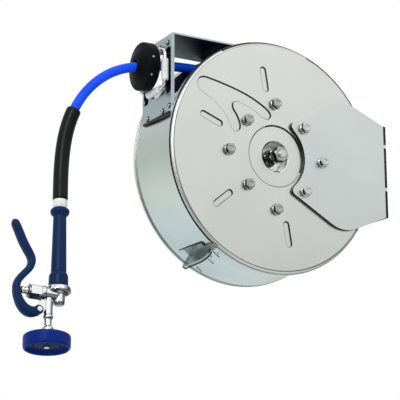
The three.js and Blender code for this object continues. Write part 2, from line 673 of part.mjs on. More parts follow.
function drum() {
  const [front, back] = DRUM_Y;
  const sheet = 2;
  const coreBore = CORE_R - sheet;
  add(reelGroup, 'drum_core', turned([
    [coreBore, front + sheet + GAP], [CORE_R, front + sheet + GAP], [CORE_R, back - sheet - GAP],
    [coreBore, back - sheet - GAP], [coreBore, 70], [16, 70], [16, 67.5], [coreBore, 67.5],
  ], MEDIUM), BRUSHED);
  const flange = (y0) => turned(ringProfile(RATCHET_BORE_R, FLANGE_R, y0, y0 + sheet), MEDIUM);
  add(reelGroup, 'drum_flange_front', flange(front), BRUSHED);
  add(reelGroup, 'drum_flange_rear', flange(back - sheet), BRUSHED);
  const inset = front + sheet + GAP;
  add(reelGroup, 'hose_coil',
    turned(ringProfile(CORE_R + GAP, COIL_R, inset, back - sheet - GAP), MEDIUM), HOSE_BLUE);
  add(reelGroup, 'spring_canister', turned([
    [14.5, 33], [96, 33], [96, 67 - GAP], [93.5, 67 - GAP], [93.5, 35], [14.5, 35],
  ], MEDIUM), DARK_STEEL);
  add(reelGroup, 'front_bush', turned(ringProfile(11 + GAP, 14.5 - GAP, 32, 38), COARSE), BRASS);
  const stem = turned(ringProfile(7, 12, 70 + GAP, 146), COARSE);
  const stemFlange = turned(ringProfile(7, 22, 70 + GAP, 75), COARSE);
  const feed = turnedX(ringProfile(5, 9, 10, 103), 12, 92, 0);
  add(reelGroup, 'swivel_stem', join(stem, stemFlange, feed), BRASS);
}

// A flat strip wound from the arbor out to the canister wall.
function powerSpring() {
  const turns = 3.5;
  const perTurn = 16;
  const inner = 15;
  const outer = 90;
  const strip = 2;
  const spiral = (offset) => Array.from({ length: turns * perTurn + 1 }, (_, i) => {
    const radius = inner + ((outer - inner) * i) / (turns * perTurn) + offset;
    return new THREE.Vector2(...polar(radius, (360 * i) / perTurn));
  });
  const outline = new THREE.Shape([...spiral(0), ...spiral(strip).reverse()]);
  add(reelGroup, 'power_spring', plateY(outline, 40, 62), DARK_STEEL);
}

function ratchetAndPawl() {
  const wheel = new THREE.Shape();
  const pitch = 360 / RATCHET_TEETH;
  for (let i = 0; i < RATCHET_TEETH; i += 1) {
    const start = RATCHET_START + i * pitch;
    const root = polar(RATCHET_R - 9, start);
    if (i === 0) wheel.moveTo(...root);
    else wheel.lineTo(...root);
    wheel.lineTo(...polar(RATCHET_R - 8, start + pitch * 0.45));
    wheel.lineTo(...polar(RATCHET_R, start + pitch * 0.97));
  }
  wheel.closePath();
  const bore = new THREE.Path();
  bore.absarc(0, 0, RATCHET_BORE_R, 0, Math.PI * 2, true);
  wheel.holes.push(bore);
  add(reelGroup, 'ratchet_wheel', plateY(wheel, 14, DRUM_Y[0] - GAP, 14), DARK_STEEL);

  const pinR = 4;
  add(reelGroup, 'pawl_pin', barY(pinR, SHEET + GAP, 20 - GAP, ...PAWL_PIN, 16), ZINC);
  const [px, pz] = PAWL_PIN;
  const eye = barY(8.5, 14, 19, px, pz);
  const tip = polar(RATCHET_R - 7, RATCHET_START + 3.5);
  const arm = new THREE.Shape([
    new THREE.Vector2(px + 7, pz - 4), new THREE.Vector2(...tip), new THREE.Vector2(tip[0] - 5, tip[1] - 5.5),
    new THREE.Vector2(px - 5, pz - 7),
  ]);
  const engaged = cut(join(eye, plateY(arm, 14, 19)), barY(pinR + GAP, 13, 20, px, pz, 16));
  const lifted = engaged.translate([-px, 0, -pz]).rotate([0, PAWL_LIFT, 0]).translate([px, 0, pz]);
  add(reelGroup, 'pawl', lifted, DARK_STEEL);
}

// The water inlet: a fixed housing on the rear cover, in which the drum's hollow stem turns.
function swivelHousing() {
  const base = CASE_DEPTH + GAP;
  const shell = turned([
    [0, 160], [17, 160], [20, 157], [20, base + 4], [32, base + 4], [32, base],
    [12.35, base], [12.35, 148], [6, 148], [6, 154], [0, 154],
  ], COARSE);
  const neck = turnedZ([[0, -14], [11, -14], [11, -42], [0, -42]], COARSE, 0, 146);
  const hex = solid(extrude(hexOutline(24), 14).translate(0, 146, -52));
  const bore = turnedZ(discProfile(INLET_BORE_R, -53, -13), 32, 0, 146);
  add(reelGroup, 'swivel_inlet', cut(join(shell, neck, hex), bore, barY(12.35, base - 1, 148, 0, 0)), BRASS);
}

// ---------------------------------------------------------------- hose and the pieces on it

function hoseCurve() {
  return splineOf([...HOSE_ROUTE, toolPoint(0, 0, GAP)]);
}

// A point of the tool's frame, in the reel's frame.
function toolPoint(x, y, z) {
  toolGroup.updateMatrix();
  return new THREE.Vector3(x, y, z).applyMatrix4(toolGroup.matrix).toArray();
}

// A part of a curve, from one share of its length to another.
class Stretch extends THREE.Curve {
  constructor(whole, from, to) {
    super();
    this.whole = whole;
    this.from = from;
    this.to = to;
  }

  getPoint(t, target = new THREE.Vector3()) {
    return this.whole.getPointAt(this.from + (this.to - this.from) * t, target);
  }
}

function hose() {
  const curve = hoseCurve();
  add(reelGroup, 'hose', bentBar(curve, HOSE_R, 0, 32, 5), HOSE_BLUE);
  const guard = new Stretch(curve, SLEEVE_START, 0.999);
  add(reelGroup, 'hose_guard', bentBar(guard, 12, HOSE_R + 0.8, 11, 5), BLACK_RUBBER);
}

// Two rubber halves clamped on the hose; they stop it at the rollers.
function hoseStop() {
  const half = 9.2;
  const edge = 2;
  const hub = 16;
  const hubEnd = -half - 8;
  const profile = [
    [0, hubEnd], [hub - edge, hubEnd], [hub, hubEnd + edge], [hub + edge, -half - 1],
    [hub + 6, -half], [STOP_R - edge, -half], [STOP_R, edge - half], [STOP_R, half - edge],
    [STOP_R - edge, half], [0, half],
  ];
  const whole = latheOf(profile, 32).applyMatrix4(LATHE_X);
  whole.rotateY(THREE.MathUtils.degToRad(STOP_LEAN)).translate(STOP_X, HOSE_Y, STOP_Z);
  const passage = bentBar(new Stretch(hoseCurve(), 0.14, 0.42), HOSE_R + 0.8, 0, 14, 5);
  const body = cut(solid(whole), passage);
  const split = GAP / 2;
  const across = [STOP_X - STOP_R, STOP_X + STOP_R];
  const upper = box(across, [0, 120], [STOP_Z + split, 220]);
  const lower = box(across, [0, 120], [60, STOP_Z - split]);
  add(reelGroup, 'hose_stop_upper', body.intersect(upper), BLACK_RUBBER);
  add(reelGroup, 'hose_stop_lower', body.intersect(lower), BLACK_RUBBER);
}

// ---------------------------------------------------------------- hand grip and spray valve

function grip() {
  const [top, bottom] = GRIP_Z;
  add(toolGroup, 'hose_ferrule', turnedZ([
    [0, 0], [11.4, 0], [11.4, -9], [10.4, -10], [10.4, top + GAP], [0, top + GAP],
  ], COARSE), ZINC);
  const body = turnedZ([
    [0, top], [10.6, top], [13.8, top - 2.2], [15.2, top - 5.3], [14.6, top - 8.8],
    [12.2, top - 11.5], [10.3, top - 14], [10.2, top - 17], [11, top - 55], [11.9, top - 101],
    [12.1, top - 107], [12.9, top - 109], [14.7, top - 112], [15.1, top - 115],
    [15.2, bottom + 3], [14, bottom], [0, bottom],
  ], 24);
  add(toolGroup, 'hand_grip', body, NAVY);
}

function valveBody() {
  const top = GRIP_Z[1] - GAP;
  const flange = turnedZ([
    [0, top], [17.6, top], [19, top - 1.5], [20, top - 6.5], [19.6, top - 8.5], [17.5, top - 10],
    [10, top - 11.5], [0, top - 11.5],
  ], 28);
  const boss = turnedZ([
    [0, top - 8], [9.3, top - 8], [9.3, -169], [7.5, -172.5], [4, -174], [0, -174],
  ], COARSE, BOSS_X);
  const collarX = [BONNET_X[1] + GAP, -22.5];
  const barrel = turnedX(discProfile(10, collarX[1] - 1, 0), COARSE, 0, BONNET_Z);
  const collar = turnedX(discProfile(12.2, ...collarX), 24, 0, BONNET_Z);
  const outlet = turnedZ([
    [0, BONNET_Z - 2], [6.8, BONNET_Z - 2], [6.8, -192], [7.7, -193], [7.7, -196], [5.7, -197],
    [5.7, -208.5], [8.2, -211], [8.9, -213], [8.9, -217], [6.5, HEAD_Z[0] + GAP], [0, HEAD_Z[0] + GAP],
  ], COARSE, OUTLET_X);
  const lug = plateY(roundedOutline([
    [PIVOT[0] - 5.5, PIVOT[1] - 5.5, 5], [PIVOT[0] + 6, PIVOT[1] - 5.5, 4], [OUTLET_X, -176, 2],
    [OUTLET_X - 2, BONNET_Z, 1], [-28, BONNET_Z, 1], [-29, -172, 3], [PIVOT[0] - 5.5, PIVOT[1] + 5, 3],
  ]), -LUG_HALF_WIDTH, LUG_HALF_WIDTH, 4);
  const pinHole = barY(PIN_R + GAP, -20, 20, ...PIVOT, 12);
  const stemBore = turnedX(discProfile(4, -31, -18), 12, 0, BONNET_Z);
  const body = cut(join(flange, boss, barrel, collar, outlet, lug), pinHole, stemBore);
  add(toolGroup, 'valve_body', body, CHROME);

  const hex = plateX(hexOutline(20.5, 0, BONNET_Z), ...BONNET_X);
  const noseX = BONNET_X[0] - 2;
  const nose = turnedX(discProfile(8.4, noseX, BONNET_X[0] + 1), COARSE, 0, BONNET_Z);
  const bore = turnedX(discProfile(6.3, noseX - 1, -27), 16, 0, BONNET_Z);
  add(toolGroup, 'valve_bonnet', cut(join(hex, nose), bore), CHROME);
  const plunger = turnedX([
    [0, PLUNGER_TIP_X], [4.5, PLUNGER_TIP_X], [6, PLUNGER_TIP_X + 1.4], [6, -41], [3.7, -41],
    [3.7, -26], [0, -26],
  ], 16, 0, BONNET_Z);
  add(toolGroup, 'valve_plunger', plunger, CHROME);
  const shank = LEVER_WIDTH / 2 + 0.5;
  const headSides = [[-shank - 1.8, -shank + 0.2], [shank - 0.2, shank + 1.8]];
  const pinHeads = headSides.map(([y0, y1]) => barY(4, y0, y1, ...PIVOT, 12));
  const pin = join(barY(PIN_R, -shank, shank, ...PIVOT, 12), ...pinHeads);
  add(toolGroup, 'lever_pin', pin, CHROME);
}

// The squeeze lever: a curved bar from a free end beside the grip, round the bonnet, to its fork.
function squeezeLever() {
  const curve = splineOf(LEVER_LINE);
  const steps = 30;
  const side = (sign) => Array.from({ length: steps + 1 }, (_, i) => {
    const point = curve.getPoint(i / steps);
    const along = curve.getTangent(i / steps);
    const reach = (sign * point.z) / Math.hypot(along.x, along.y);
    return new THREE.Vector2(point.x - reach * along.y, point.y + reach * along.x);
  });
  const outline = new THREE.Shape([...side(1), ...side(-1).reverse()]);
  const half = LEVER_WIDTH / 2;
  const eye = barY(LEVER_LINE.at(-1)[2] + 0.2, -half, half, ...PIVOT, 16);
  const bar = join(plateY(outline, -half, half), eye);
  const inside = LUG_HALF_WIDTH + GAP;
  const fork = box([PIVOT[0] - 10, PIVOT[0] + 12], [-inside, inside], [PIVOT[1] - 14, PIVOT[1] + 14]);
  const hole = barY(PIN_R + GAP, -half - 1, half + 1, ...PIVOT, 12);
  add(toolGroup, 'squeeze_lever', cut(bar, fork, hole), NAVY);
}

function sprayHead() {
  const [top, bottom] = HEAD_Z;
  const recess = bottom + 7;
  const ring = turnedZ([
    [0, top], [20, top - 1.5], [HEAD_R - 2.5, top - 4.3], [HEAD_R - 0.4, top - 5.8],
    [HEAD_R, top - 8], [HEAD_R, bottom + 4], [HEAD_R - 1.2, bottom + 0.8], [HEAD_R - 3, bottom],
    [31.8, bottom + 1], [31, bottom + 4.5], [30.5, recess], [0, recess],
  ], 30, HEAD_X);
  add(toolGroup, 'spray_head', ring, HEAD_BLUE);
  const face = turnedZ([
    [0, recess - GAP], [27, recess - GAP], [26, recess - 1.5], [8, recess - 2.5],
    [5, recess - 4], [0, recess - 4],
  ], 28, HEAD_X);
  add(toolGroup, 'spray_face', face, HEAD_BLUE);
}

// ---------------------------------------------------------------- assembly

toolGroup.position.set(...TOOL_TOP);
toolGroup.quaternion.setFromAxisAngle(
  new THREE.Vector3(...TOOL_TILT_AXIS).normalize(), THREE.MathUtils.degToRad(TOOL_TILT));

frontCover();
caseBand();
rearCover();
sidePlate('front_side_plate', -PLATE - GAP);
sidePlate('rear_side_plate', CASE_DEPTH + GAP);
wallPlate();
bolts();
rimBracket();
guideArm();
rollerRods();
rollers();
arborAndNuts();
drum();
powerSpring();
ratchetAndPawl();
swivelHousing();
hose();
hoseStop();
grip();
valveBody();
squeezeLever();
sprayHead();

const hoseReel = new THREE.Group();
reelGroup.position.set(-WALL_X, -CASE_DEPTH / 2, 0);
reelGroup.add(toolGroup);
hoseReel.add(reelGroup);

export default hoseReel;
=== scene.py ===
"""A wall-held stainless hose reel with a blue hose and a hand spray valve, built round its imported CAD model.

Lengths in the tables below are millimetres in the reel's own frame: x = z = 0 on the axle and y = 0 on
the front cover, or in the tool's frame, where z = 0 is the upper face of the hose ferrule.
"""
import json
import math

import bmesh
import bpy
from mathutils import Matrix, Vector, geometry

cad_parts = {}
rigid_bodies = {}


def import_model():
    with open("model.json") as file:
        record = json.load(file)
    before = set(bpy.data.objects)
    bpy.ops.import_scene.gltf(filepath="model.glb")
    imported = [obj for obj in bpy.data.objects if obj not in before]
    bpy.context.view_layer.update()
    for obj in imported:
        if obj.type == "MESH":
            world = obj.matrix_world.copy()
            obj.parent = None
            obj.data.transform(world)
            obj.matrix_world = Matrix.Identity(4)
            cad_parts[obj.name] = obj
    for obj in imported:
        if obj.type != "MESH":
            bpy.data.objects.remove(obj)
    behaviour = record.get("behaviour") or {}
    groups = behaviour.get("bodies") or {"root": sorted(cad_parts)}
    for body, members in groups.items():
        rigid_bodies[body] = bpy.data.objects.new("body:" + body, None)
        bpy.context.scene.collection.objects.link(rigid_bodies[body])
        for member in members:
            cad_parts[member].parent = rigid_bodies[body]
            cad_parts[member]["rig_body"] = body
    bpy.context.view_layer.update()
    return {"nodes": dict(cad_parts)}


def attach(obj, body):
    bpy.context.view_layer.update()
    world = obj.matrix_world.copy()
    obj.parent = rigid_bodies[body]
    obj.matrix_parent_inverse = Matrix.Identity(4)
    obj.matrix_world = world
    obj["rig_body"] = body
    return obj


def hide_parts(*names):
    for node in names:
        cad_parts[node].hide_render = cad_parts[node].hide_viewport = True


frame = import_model()

# ---------------------------------------------------------------- frames and driving dimensions

WALL_X = 229.0  # reel axle to wall
CASE_DEPTH = 128.8
GAP = 0.3  # clearance between pieces that touch
SHEET = 1.5
COVER_R = 200.0
BAND_R = 198.5
BEAD_R = 202.0
REAR_RIM_R = 203.8
HUB_R = 52.7
CUP_R = 24.5
PRESS_DEPTH = 2.0  # how deep the cover's marks are pressed in
ROUND = 96  # facets round small turned pieces
CASE_ROUND = 360  # facets round the case
HOSE_R = 8.0

TOOL_TOP = (-367.5, 56.2, -107.9)
TOOL_TILT = math.radians(-10.5)
TOOL_TILT_AXIS = Vector((0.919, -0.395, 0)).normalized()

REEL = Matrix.Translation((-WALL_X / 1000, -CASE_DEPTH / 2000, 0)) @ Matrix.Scale(0.001, 4)
TOOL = REEL @ Matrix.Translation(TOOL_TOP) @ Matrix.Rotation(TOOL_TILT, 4, TOOL_TILT_AXIS)


def shift(x, y, z):
    return Matrix.Translation((x, y, z))


def columns(x, y, z):
    """A rotation whose columns are these axes."""
    return Matrix((x, y, z)).transposed().to_4x4()


ALONG_Y = columns((1, 0, 0), (0, 0, -1), (0, 1, 0))  # local z runs along y
ALONG_X = columns((0, 1, 0), (0, 0, 1), (1, 0, 0))  # local z runs along x
UPRIGHT = columns((1, 0, 0), (0, 0, 1), (0, -1, 0))  # an outline's x and y are x and z
AXLE = REEL @ ALONG_Y

# ---------------------------------------------------------------- camera, at the view's own angle

CAMERA_AT = Vector((-1.4049, -1.8674, -0.5842))
CAMERA_TO = Vector((-0.3319, 0.0137, -0.0715))
CAMERA_ROLL = math.radians(-0.12)
LENS = 119.0


def make_camera():
    data = bpy.data.cameras.new("camera")
    data.lens = LENS
    data.sensor_width = 36
    data.clip_start = 0.05
    camera = bpy.data.objects.new("camera", data)
    look = (CAMERA_TO - CAMERA_AT).to_track_quat("-Z", "Y").to_matrix().to_4x4()
    camera.matrix_world = Matrix.Translation(CAMERA_AT) @ look @ Matrix.Rotation(CAMERA_ROLL, 4, "Z")
    bpy.context.scene.collection.objects.link(camera)
    bpy.context.scene.camera = camera


make_camera()

# ---------------------------------------------------------------- materials


class Nodes:
    """A node tree, and short ways to add to it."""

    def __init__(self, owner):
        owner.use_nodes = True
        self.tree = owner.node_tree

    def add(self, kind, **settings):
        node = self.tree.nodes.new(kind)
        for key, value in settings.items():
            setattr(node, key, value)
        return node

    def link(self, out, into):
        self.tree.links.new(out, into)

    def noise(self, scale, detail, rough=0.5, stretch=(1, 1, 1)):
        where = self.add("ShaderNodeTexCoord")
        mapping = self.add("ShaderNodeMapping")
        mapping.inputs["Scale"].default_value = stretch
        noise = self.add("ShaderNodeTexNoise")
        noise.inputs["Scale"].default_value = scale
        noise.inputs["Detail"].default_value = detail
        noise.inputs["Roughness"].default_value = rough
        self.link(where.outputs["Object"], mapping.inputs["Vector"])
        self.link(mapping.outputs["Vector"], noise.inputs["Vector"])
        return noise.outputs["Fac"]

    def ramp(self, factor, stops):
        ramp = self.add("ShaderNodeValToRGB")
        elements = ramp.color_ramp.elements
        while len(elements) < len(stops):
            elements.new(0.5)
        for element, (place, colour) in zip(elements, stops):
            element.position = place
            element.color = (*colour, 1) if isinstance(colour, tuple) else (colour, colour, colour, 1)
        self.link(factor, ramp.inputs["Fac"])
        return ramp.outputs["Color"]

    def map_range(self, factor, **values):
        node = self.add("ShaderNodeMapRange")
        for key, value in values.items():
            node.inputs[key.replace("_", " ")].default_value = value
        self.link(factor, node.inputs["Value"])
        return node.outputs["Result"]


class Surface(Nodes):
    """A material with a Principled shader."""

    def __init__(self, name, **values):
        self.material = bpy.data.materials.new(name)
        super().__init__(self.material)
        self.shader = self.tree.nodes["Principled BSDF"]
        for key, value in values.items():
            self.shader.inputs[key.replace("_", " ")].default_value = value

    def colour(self, socket):
        self.link(socket, self.shader.inputs["Base Color"])

    def roughness(self, factor, middle, spread):
        values = {"From_Min": 0.3, "From_Max": 0.7, "To_Min": middle - spread, "To_Max": middle + spread}
        self.link(self.map_range(factor, **values), self.shader.inputs["Roughness"])

    def bump(self, height, strength, distance):
        node = self.add("ShaderNodeBump")
        node.inputs["Strength"].default_value = strength
        node.inputs["Distance"].default_value = distance
        self.link(height, node.inputs["Height"])
        self.link(node.outputs["Normal"], self.shader.inputs["Normal"])


def shade(colour, factor):
    return tuple(c * factor for c in colour)


def metal(name, colour, rough, grain_scale, spread=0.06, bump=0.03, blotch=0.04, grain=(1, 1, 1)):
    """Metal whose grain streaks run where the stretch is small, with a faint cloudiness."""
    m = Surface(name, Metallic=1.0)
    streaks = m.noise(grain_scale, 4, stretch=grain)
    clouds = m.noise(9, 2)
    m.colour(m.ramp(clouds, [(0.3, shade(colour, 1 - blotch)), (0.7, shade(colour, 1 + blotch))]))
    m.roughness(streaks, rough, spread)
    m.bump(streaks, bump, 0.0004)
    return m.material


def moulded(name, colour, rough, spread=0.08, bump=0.08, scale=420, shine=0.28, worn=1.2):
    """Moulded plastic or rubber: fine orange-peel, faint cloudiness in colour and gloss."""
    m = Surface(name, Specular_IOR_Level=shine)
    fine = m.noise(scale, 3, 0.6)
    clouds = m.noise(24, 3)
    m.colour(m.ramp(clouds, [(0.25, shade(colour, 0.86)), (0.6, colour), (0.85, shade(colour, worn))]))
    m.roughness(clouds, rough, spread)
    m.bump(fine, bump, 0.0004)
    return m.material


COVER_STEEL = metal("cover_steel", (0.79, 0.815, 0.78), 0.29, 12, 0.02, 0.0015, 0.025)
# Painted highlight: a lighter copy of the cover steel for the rolled rim, the band's bead and the bracket's
# lip edge.
RIM_HIGHLIGHT_STEEL = metal("rim_highlight_steel", (0.84, 0.87, 0.855), 0.34, 8, 0.01, 0.0, 0.02)
# Painted light: a lighter copy of the cover steel for the cup's bottom, where its recess would be in shade.
CUP_LIT_STEEL = metal("cup_lit_steel", (0.97, 0.97, 0.92), 0.38, 10, 0.02, 0.0, 0.02)
SHADED_STEEL = metal("shaded_steel", (0.27, 0.32, 0.31), 0.3, 110, 0.4, 0.1, 0.35, grain=(1, 0.35, 1))
# Painted shade: dark and soft grey lines at edges, seams, pressed walls and facets, where shade and dark
# reflections fall.
SHADE_LINE_DARK = metal("shade_line_dark", (0.035, 0.04, 0.038), 0.4, 90)
SHADE_LINE_GREY = metal("shade_line_grey", (0.36, 0.41, 0.385), 0.4, 90)
PLATE_STEEL = metal("plate_steel", (0.783, 0.84, 0.845), 0.36, 200, 0.02, 0.004, grain=(0.05, 1, 1))
BAND_STEEL = metal("band_steel", (0.68, 0.715, 0.70), 0.25, 160, 0.035, 0.01, 0.05, grain=(0.03, 0.5, 0.03))
ARM_STEEL = metal("arm_steel", (0.50, 0.575, 0.615), 0.30, 220, 0.05, 0.012, grain=(1, 0.04, 1))
ARM_SHADE = metal("arm_shade", (0.085, 0.10, 0.10), 0.42, 140, grain=(0.1, 1, 1))
DULL_STEEL = metal("dull_steel", (0.55, 0.57, 0.57), 0.42, 90)
ZINC = metal("zinc", (0.68, 0.71, 0.70), 0.24, 160, 0.07, 0.03, 0.08)
BOLT_STEEL = metal("bolt_steel", (0.42, 0.47, 0.455), 0.2, 160, 0.05, 0.02, 0.08)
BLACK_STEEL = metal("black_steel", (0.03, 0.032, 0.034), 0.5, 120)
DARK_STEEL = metal("dark_steel", (0.16, 0.165, 0.17), 0.42, 120)
SPRING_STEEL = metal("spring_steel", (0.20, 0.22, 0.27), 0.35, 140, grain=(1, 0.05, 1))
# Painted reflections: dark and grey copies of the chrome for the plated pieces' sides and undersides.
CHROME_REFLECTION_DARK = metal("chrome_reflection_dark", (0.10, 0.115, 0.12), 0.2, 80)
CHROME_REFLECTION_GREY = metal("chrome_reflection_grey", (0.45, 0.48, 0.49), 0.2, 80)
CHROME = metal("chrome", (0.88, 0.89, 0.90), 0.07, 80, 0.025, 0.004, 0.01)
BRASS = metal("brass", (0.70, 0.53, 0.25), 0.28, 110, 0.08, 0.03, 0.07)
HOSE_BLUE = moulded("hose_blue", (0.005, 0.088, 0.95), 0.42, 0.05, 0.05, 260, 0.17, 1.02)
RUBBER = moulded("rubber", (0.002, 0.0025, 0.0035), 0.5, 0.05, 0.08, 700, 0.08)
GUARD_RUBBER = moulded("guard_rubber", (0.002, 0.0026, 0.003), 0.33, 0.03, 0.01, 120, 0.2)
WHITE_PLASTIC = moulded("white_plastic", (0.80, 0.83, 0.82), 0.42, 0.06, 0.05, 300, 0.4, 1.04)
FERRULE_WHITE = moulded("ferrule", (0.84, 0.86, 0.88), 0.35, 0.04, 0.03, 300, 0.6, 1.04)
NAVY = moulded("navy", (0.0018, 0.021, 0.088), 0.32, 0.05, 0.05, 380, 0.13)
HEAD_BLUE = moulded("head_blue", (0.001, 0.02, 0.205), 0.34, 0.05, 0.05, 380, 0.1)
FACE_BLUE = moulded("face_blue", (0.0012, 0.013, 0.095), 0.4, 0.05, 0.05, 380, 0.05)
# Painted shade: near-black for the discs that stand for the spray holes.
HOLE_SHADE_BLUE = moulded("hole_shade_blue", (0.0005, 0.002, 0.012), 0.5, 0.05, 0.05, 380, 0.05)

# ---------------------------------------------------------------- mesh helpers


def bend(before, corner, after, radius, steps):
    """The points of a rounded corner."""
    corner = Vector(corner)
    to_back = Vector(before) - corner
    to_next = Vector(after) - corner
    reach = min(radius, to_back.length * 0.45, to_next.length * 0.45)
    start = corner + to_back.normalized() * reach
    end = corner + to_next.normalized() * reach
    shares = [k / steps for k in range(steps + 1)]
    return [tuple((1 - t) ** 2 * start + 2 * t * (1 - t) * corner + t * t * end) for t in shares]


def rounded(points, radius, steps=3, closed=False):
    """A polyline with each inner corner rounded."""
    out = []
    last = len(points) - 1
    for i, point in enumerate(points):
        if not closed and i in (0, last):
            out.append(tuple(point))
        else:
            out += bend(points[i - 1], point, points[(i + 1) % len(points)], radius, steps)
    return out


def spline(points, per_span, closed=False):
    """A centripetal Catmull-Rom curve through the points, with per_span steps between each two."""
    places = [Vector(p).to_3d() for p in points]
    if closed:
        chain = [places[-1], *places, places[0], places[1]]
    else:
        chain = [2 * places[0] - places[1], *places, 2 * places[-1] - places[-2]]
    out = []
    for a, b, c, d in zip(chain, chain[1:], chain[2:], chain[3:]):
        gaps = [max((q - p).length, 1e-6) ** 0.5 for p, q in ((a, b), (b, c), (c, d))]
        leave = ((b - a) / gaps[0] - (c - a) / (gaps[0] + gaps[1]) + (c - b) / gaps[1]) * gaps[1]
        arrive = ((c - b) / gaps[1] - (d - b) / (gaps[1] + gaps[2]) + (d - c) / gaps[2]) * gaps[1]
        for k in range(per_span):
            t = k / per_span
            out.append(
                b + leave * t + (-3 * b + 3 * c - 2 * leave - arrive) * t * t
                + (2 * b - 2 * c + leave + arrive) * t ** 3)
    if not closed:
        out.append(places[-1])
    return out


def polar(radius, degrees):
    angle = math.radians(degrees)
    return radius * math.cos(angle), radius * math.sin(angle)


def ring_of(radius, y, count):
    """A ring of points round the axle."""
    return [(x, y, z) for x, z in (polar(radius, 360 * i / count) for i in range(count))]


def turned_by(centre):
    """A place's angle in degrees and its distance, round the axle."""
    return math.degrees(math.atan2(centre.z, centre.x)) % 360, math.hypot(centre.x, centre.z)


def facing(normal, x, z):
    """How far a face turns towards this direction."""
    return normal.x * x + normal.z * z


def show(name, bm, material, node=None, smooth=35, body="reel_frame", slot=None, weighted=False):
    """Turns a bmesh into a piece that rides on a body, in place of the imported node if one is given."""
    bmesh.ops.recalc_face_normals(bm, faces=bm.faces)
    mesh = bpy.data.meshes.new(name)
    bm.to_mesh(mesh)
    bm.free()
    for polygon in mesh.polygons:
        polygon.use_smooth = True
    mesh.set_sharp_from_angle(angle=math.radians(smooth))
    mesh.materials.append(material)
    piece = bpy.data.objects.new(name, mesh)
    bpy.context.scene.collection.objects.link(piece)
    if weighted:
        modifier = piece.modifiers.new("weighted", "WEIGHTED_NORMAL")
        modifier.weight = 80
        modifier.keep_sharp = True
    if body:
        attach(piece, body)
    if node:
        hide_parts(node)
    return piece


def paint(piece, material, chosen):
    """Gives another material to the faces whose centre (mm, in the reel's frame) and normal are chosen."""
    index = len(piece.data.materials)
    piece.data.materials.append(material)
    inverse = REEL.inverted()
    for polygon in piece.data.polygons:
        if chosen(inverse @ polygon.center, polygon.normal):
            polygon.material_index = index


def loft(bm, rings, matrix, closed=False, caps=True):
    """Joins rings of points; a ring of one point is a tip."""
    made = [[bm.verts.new(matrix @ Vector(p)) for p in ring] for ring in rings]
    pairs = list(zip(made, made[1:]))
    if closed:
        pairs.append((made[-1], made[0]))
    for low, high in pairs:
        count = max(len(low), len(high))
        for i in range(count):
            j = (i + 1) % count
            corners = [low[i % len(low)], low[j % len(low)], high[j % len(high)], high[i % len(high)]]
            unique = list(dict.fromkeys(corners))
            if len(unique) > 2:
                bm.faces.new(unique)
    if caps and not closed:
        for ring in (made[0], made[-1]):
            if len(ring) > 2:
                bm.faces.new(ring)


def turn(bm, profile, matrix, segments=ROUND, shape=None):
    """A profile of (radius, height) pairs turned about local z. One that starts off the axis is closed."""
    rings = []
    for radius, height in profile:
        if radius < 1e-6:
            rings.append([(0, 0, height)])
            continue
        ring = []
        for i in range(segments):
            degrees = 360 * i / segments
            ring.append((*polar(radius + (shape(degrees, radius, height) if shape else 0), degrees), height))
        rings.append(ring)
    loft(bm, rings, matrix, closed=profile[0][0] > 1e-6)


def turned(name, profile, matrix, material, segments=ROUND, shape=None, **how):
    bm = bmesh.new()
    turn(bm, profile, matrix, segments, shape)
    return show(name, bm, material, **how)


def softened(bm, edges, bevel, steps):
    bmesh.ops.bevel(
        bm, geom=edges, offset=bevel / 1000, offset_type="OFFSET", segments=steps, profile=0.6,
        affect="EDGES", clamp_overlap=True)


def prism(bm, outline, low, high, matrix, bevel=0.0, steps=2):
    """An outline in local x and y, raised from low to high, with its edges rounded by bevel (mm)."""
    before = set(bm.verts)
    bottom = [bm.verts.new(matrix @ Vector((x, y, low))) for x, y in outline]
    top = [bm.verts.new(matrix @ Vector((x, y, high))) for x, y in outline]
    bm.faces.new(bottom)
    bm.faces.new(top)
    for i in range(len(outline)):
        j = (i + 1) % len(outline)
        bm.faces.new((bottom[i], bottom[j], top[j], top[i]))
    if bevel:
        new = set(bm.verts) - before
        edges = [
            e for e in bm.edges
            if e.verts[0] in new and len(e.link_faces) == 2 and e.calc_face_angle(0) > math.radians(28)]
        softened(bm, edges, bevel, steps)


def hexagon(across, turn_by=30):
    return [polar(across / math.sqrt(3), turn_by + 60 * i) for i in range(6)]


def tube(bm, line, radius, matrix, sides=24, inner=0.0, lip=0.0):
    """A round bar, or a pipe with a bore, along a line of points; its ends are smaller by the lip."""
    places = [Vector(p) for p in line]
    rings = {"out": [], "in": []}
    side = None
    for i, place in enumerate(places):
        ahead = places[min(i + 1, len(places) - 1)] - places[max(i - 1, 0)]
        ahead.normalize()
        if side is None:
            side = ahead.orthogonal().normalized()
        side = (side - ahead * side.dot(ahead)).normalized()
        other = ahead.cross(side)
        outer = radius - (lip if i in (0, len(places) - 1) else 0)
        for key, size in (("out", outer), ("in", inner)):
            angles = [2 * math.pi * k / sides for k in range(sides)]
            rings[key].append([place + size * (math.cos(a) * side + math.sin(a) * other) for a in angles])
    if inner:
        loft(bm, [*rings["out"], *reversed(rings["in"])], matrix, closed=True)
    else:
        loft(bm, rings["out"], matrix)


def tubed(name, line, radius, material, sides=24, **how):
    bm = bmesh.new()
    tube(bm, line, radius, REEL, sides)
    return show(name, bm, material, **how)


def refined(node, material, bevel=0.4, steps=2):
    """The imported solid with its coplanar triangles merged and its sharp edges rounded."""
    bm = bmesh.new()
    bm.from_mesh(frame["nodes"][node].data)
    bmesh.ops.remove_doubles(bm, verts=bm.verts, dist=2e-6)
    bmesh.ops.dissolve_limit(bm, angle_limit=math.radians(0.6), verts=bm.verts, edges=bm.edges)
    edges = [e for e in bm.edges if len(e.link_faces) == 2 and e.calc_face_angle(0) > math.radians(32)]
    softened(bm, edges, bevel, steps)
    return show(node + "_detailed", bm, material, node, body=frame["nodes"][node]["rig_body"], weighted=True)


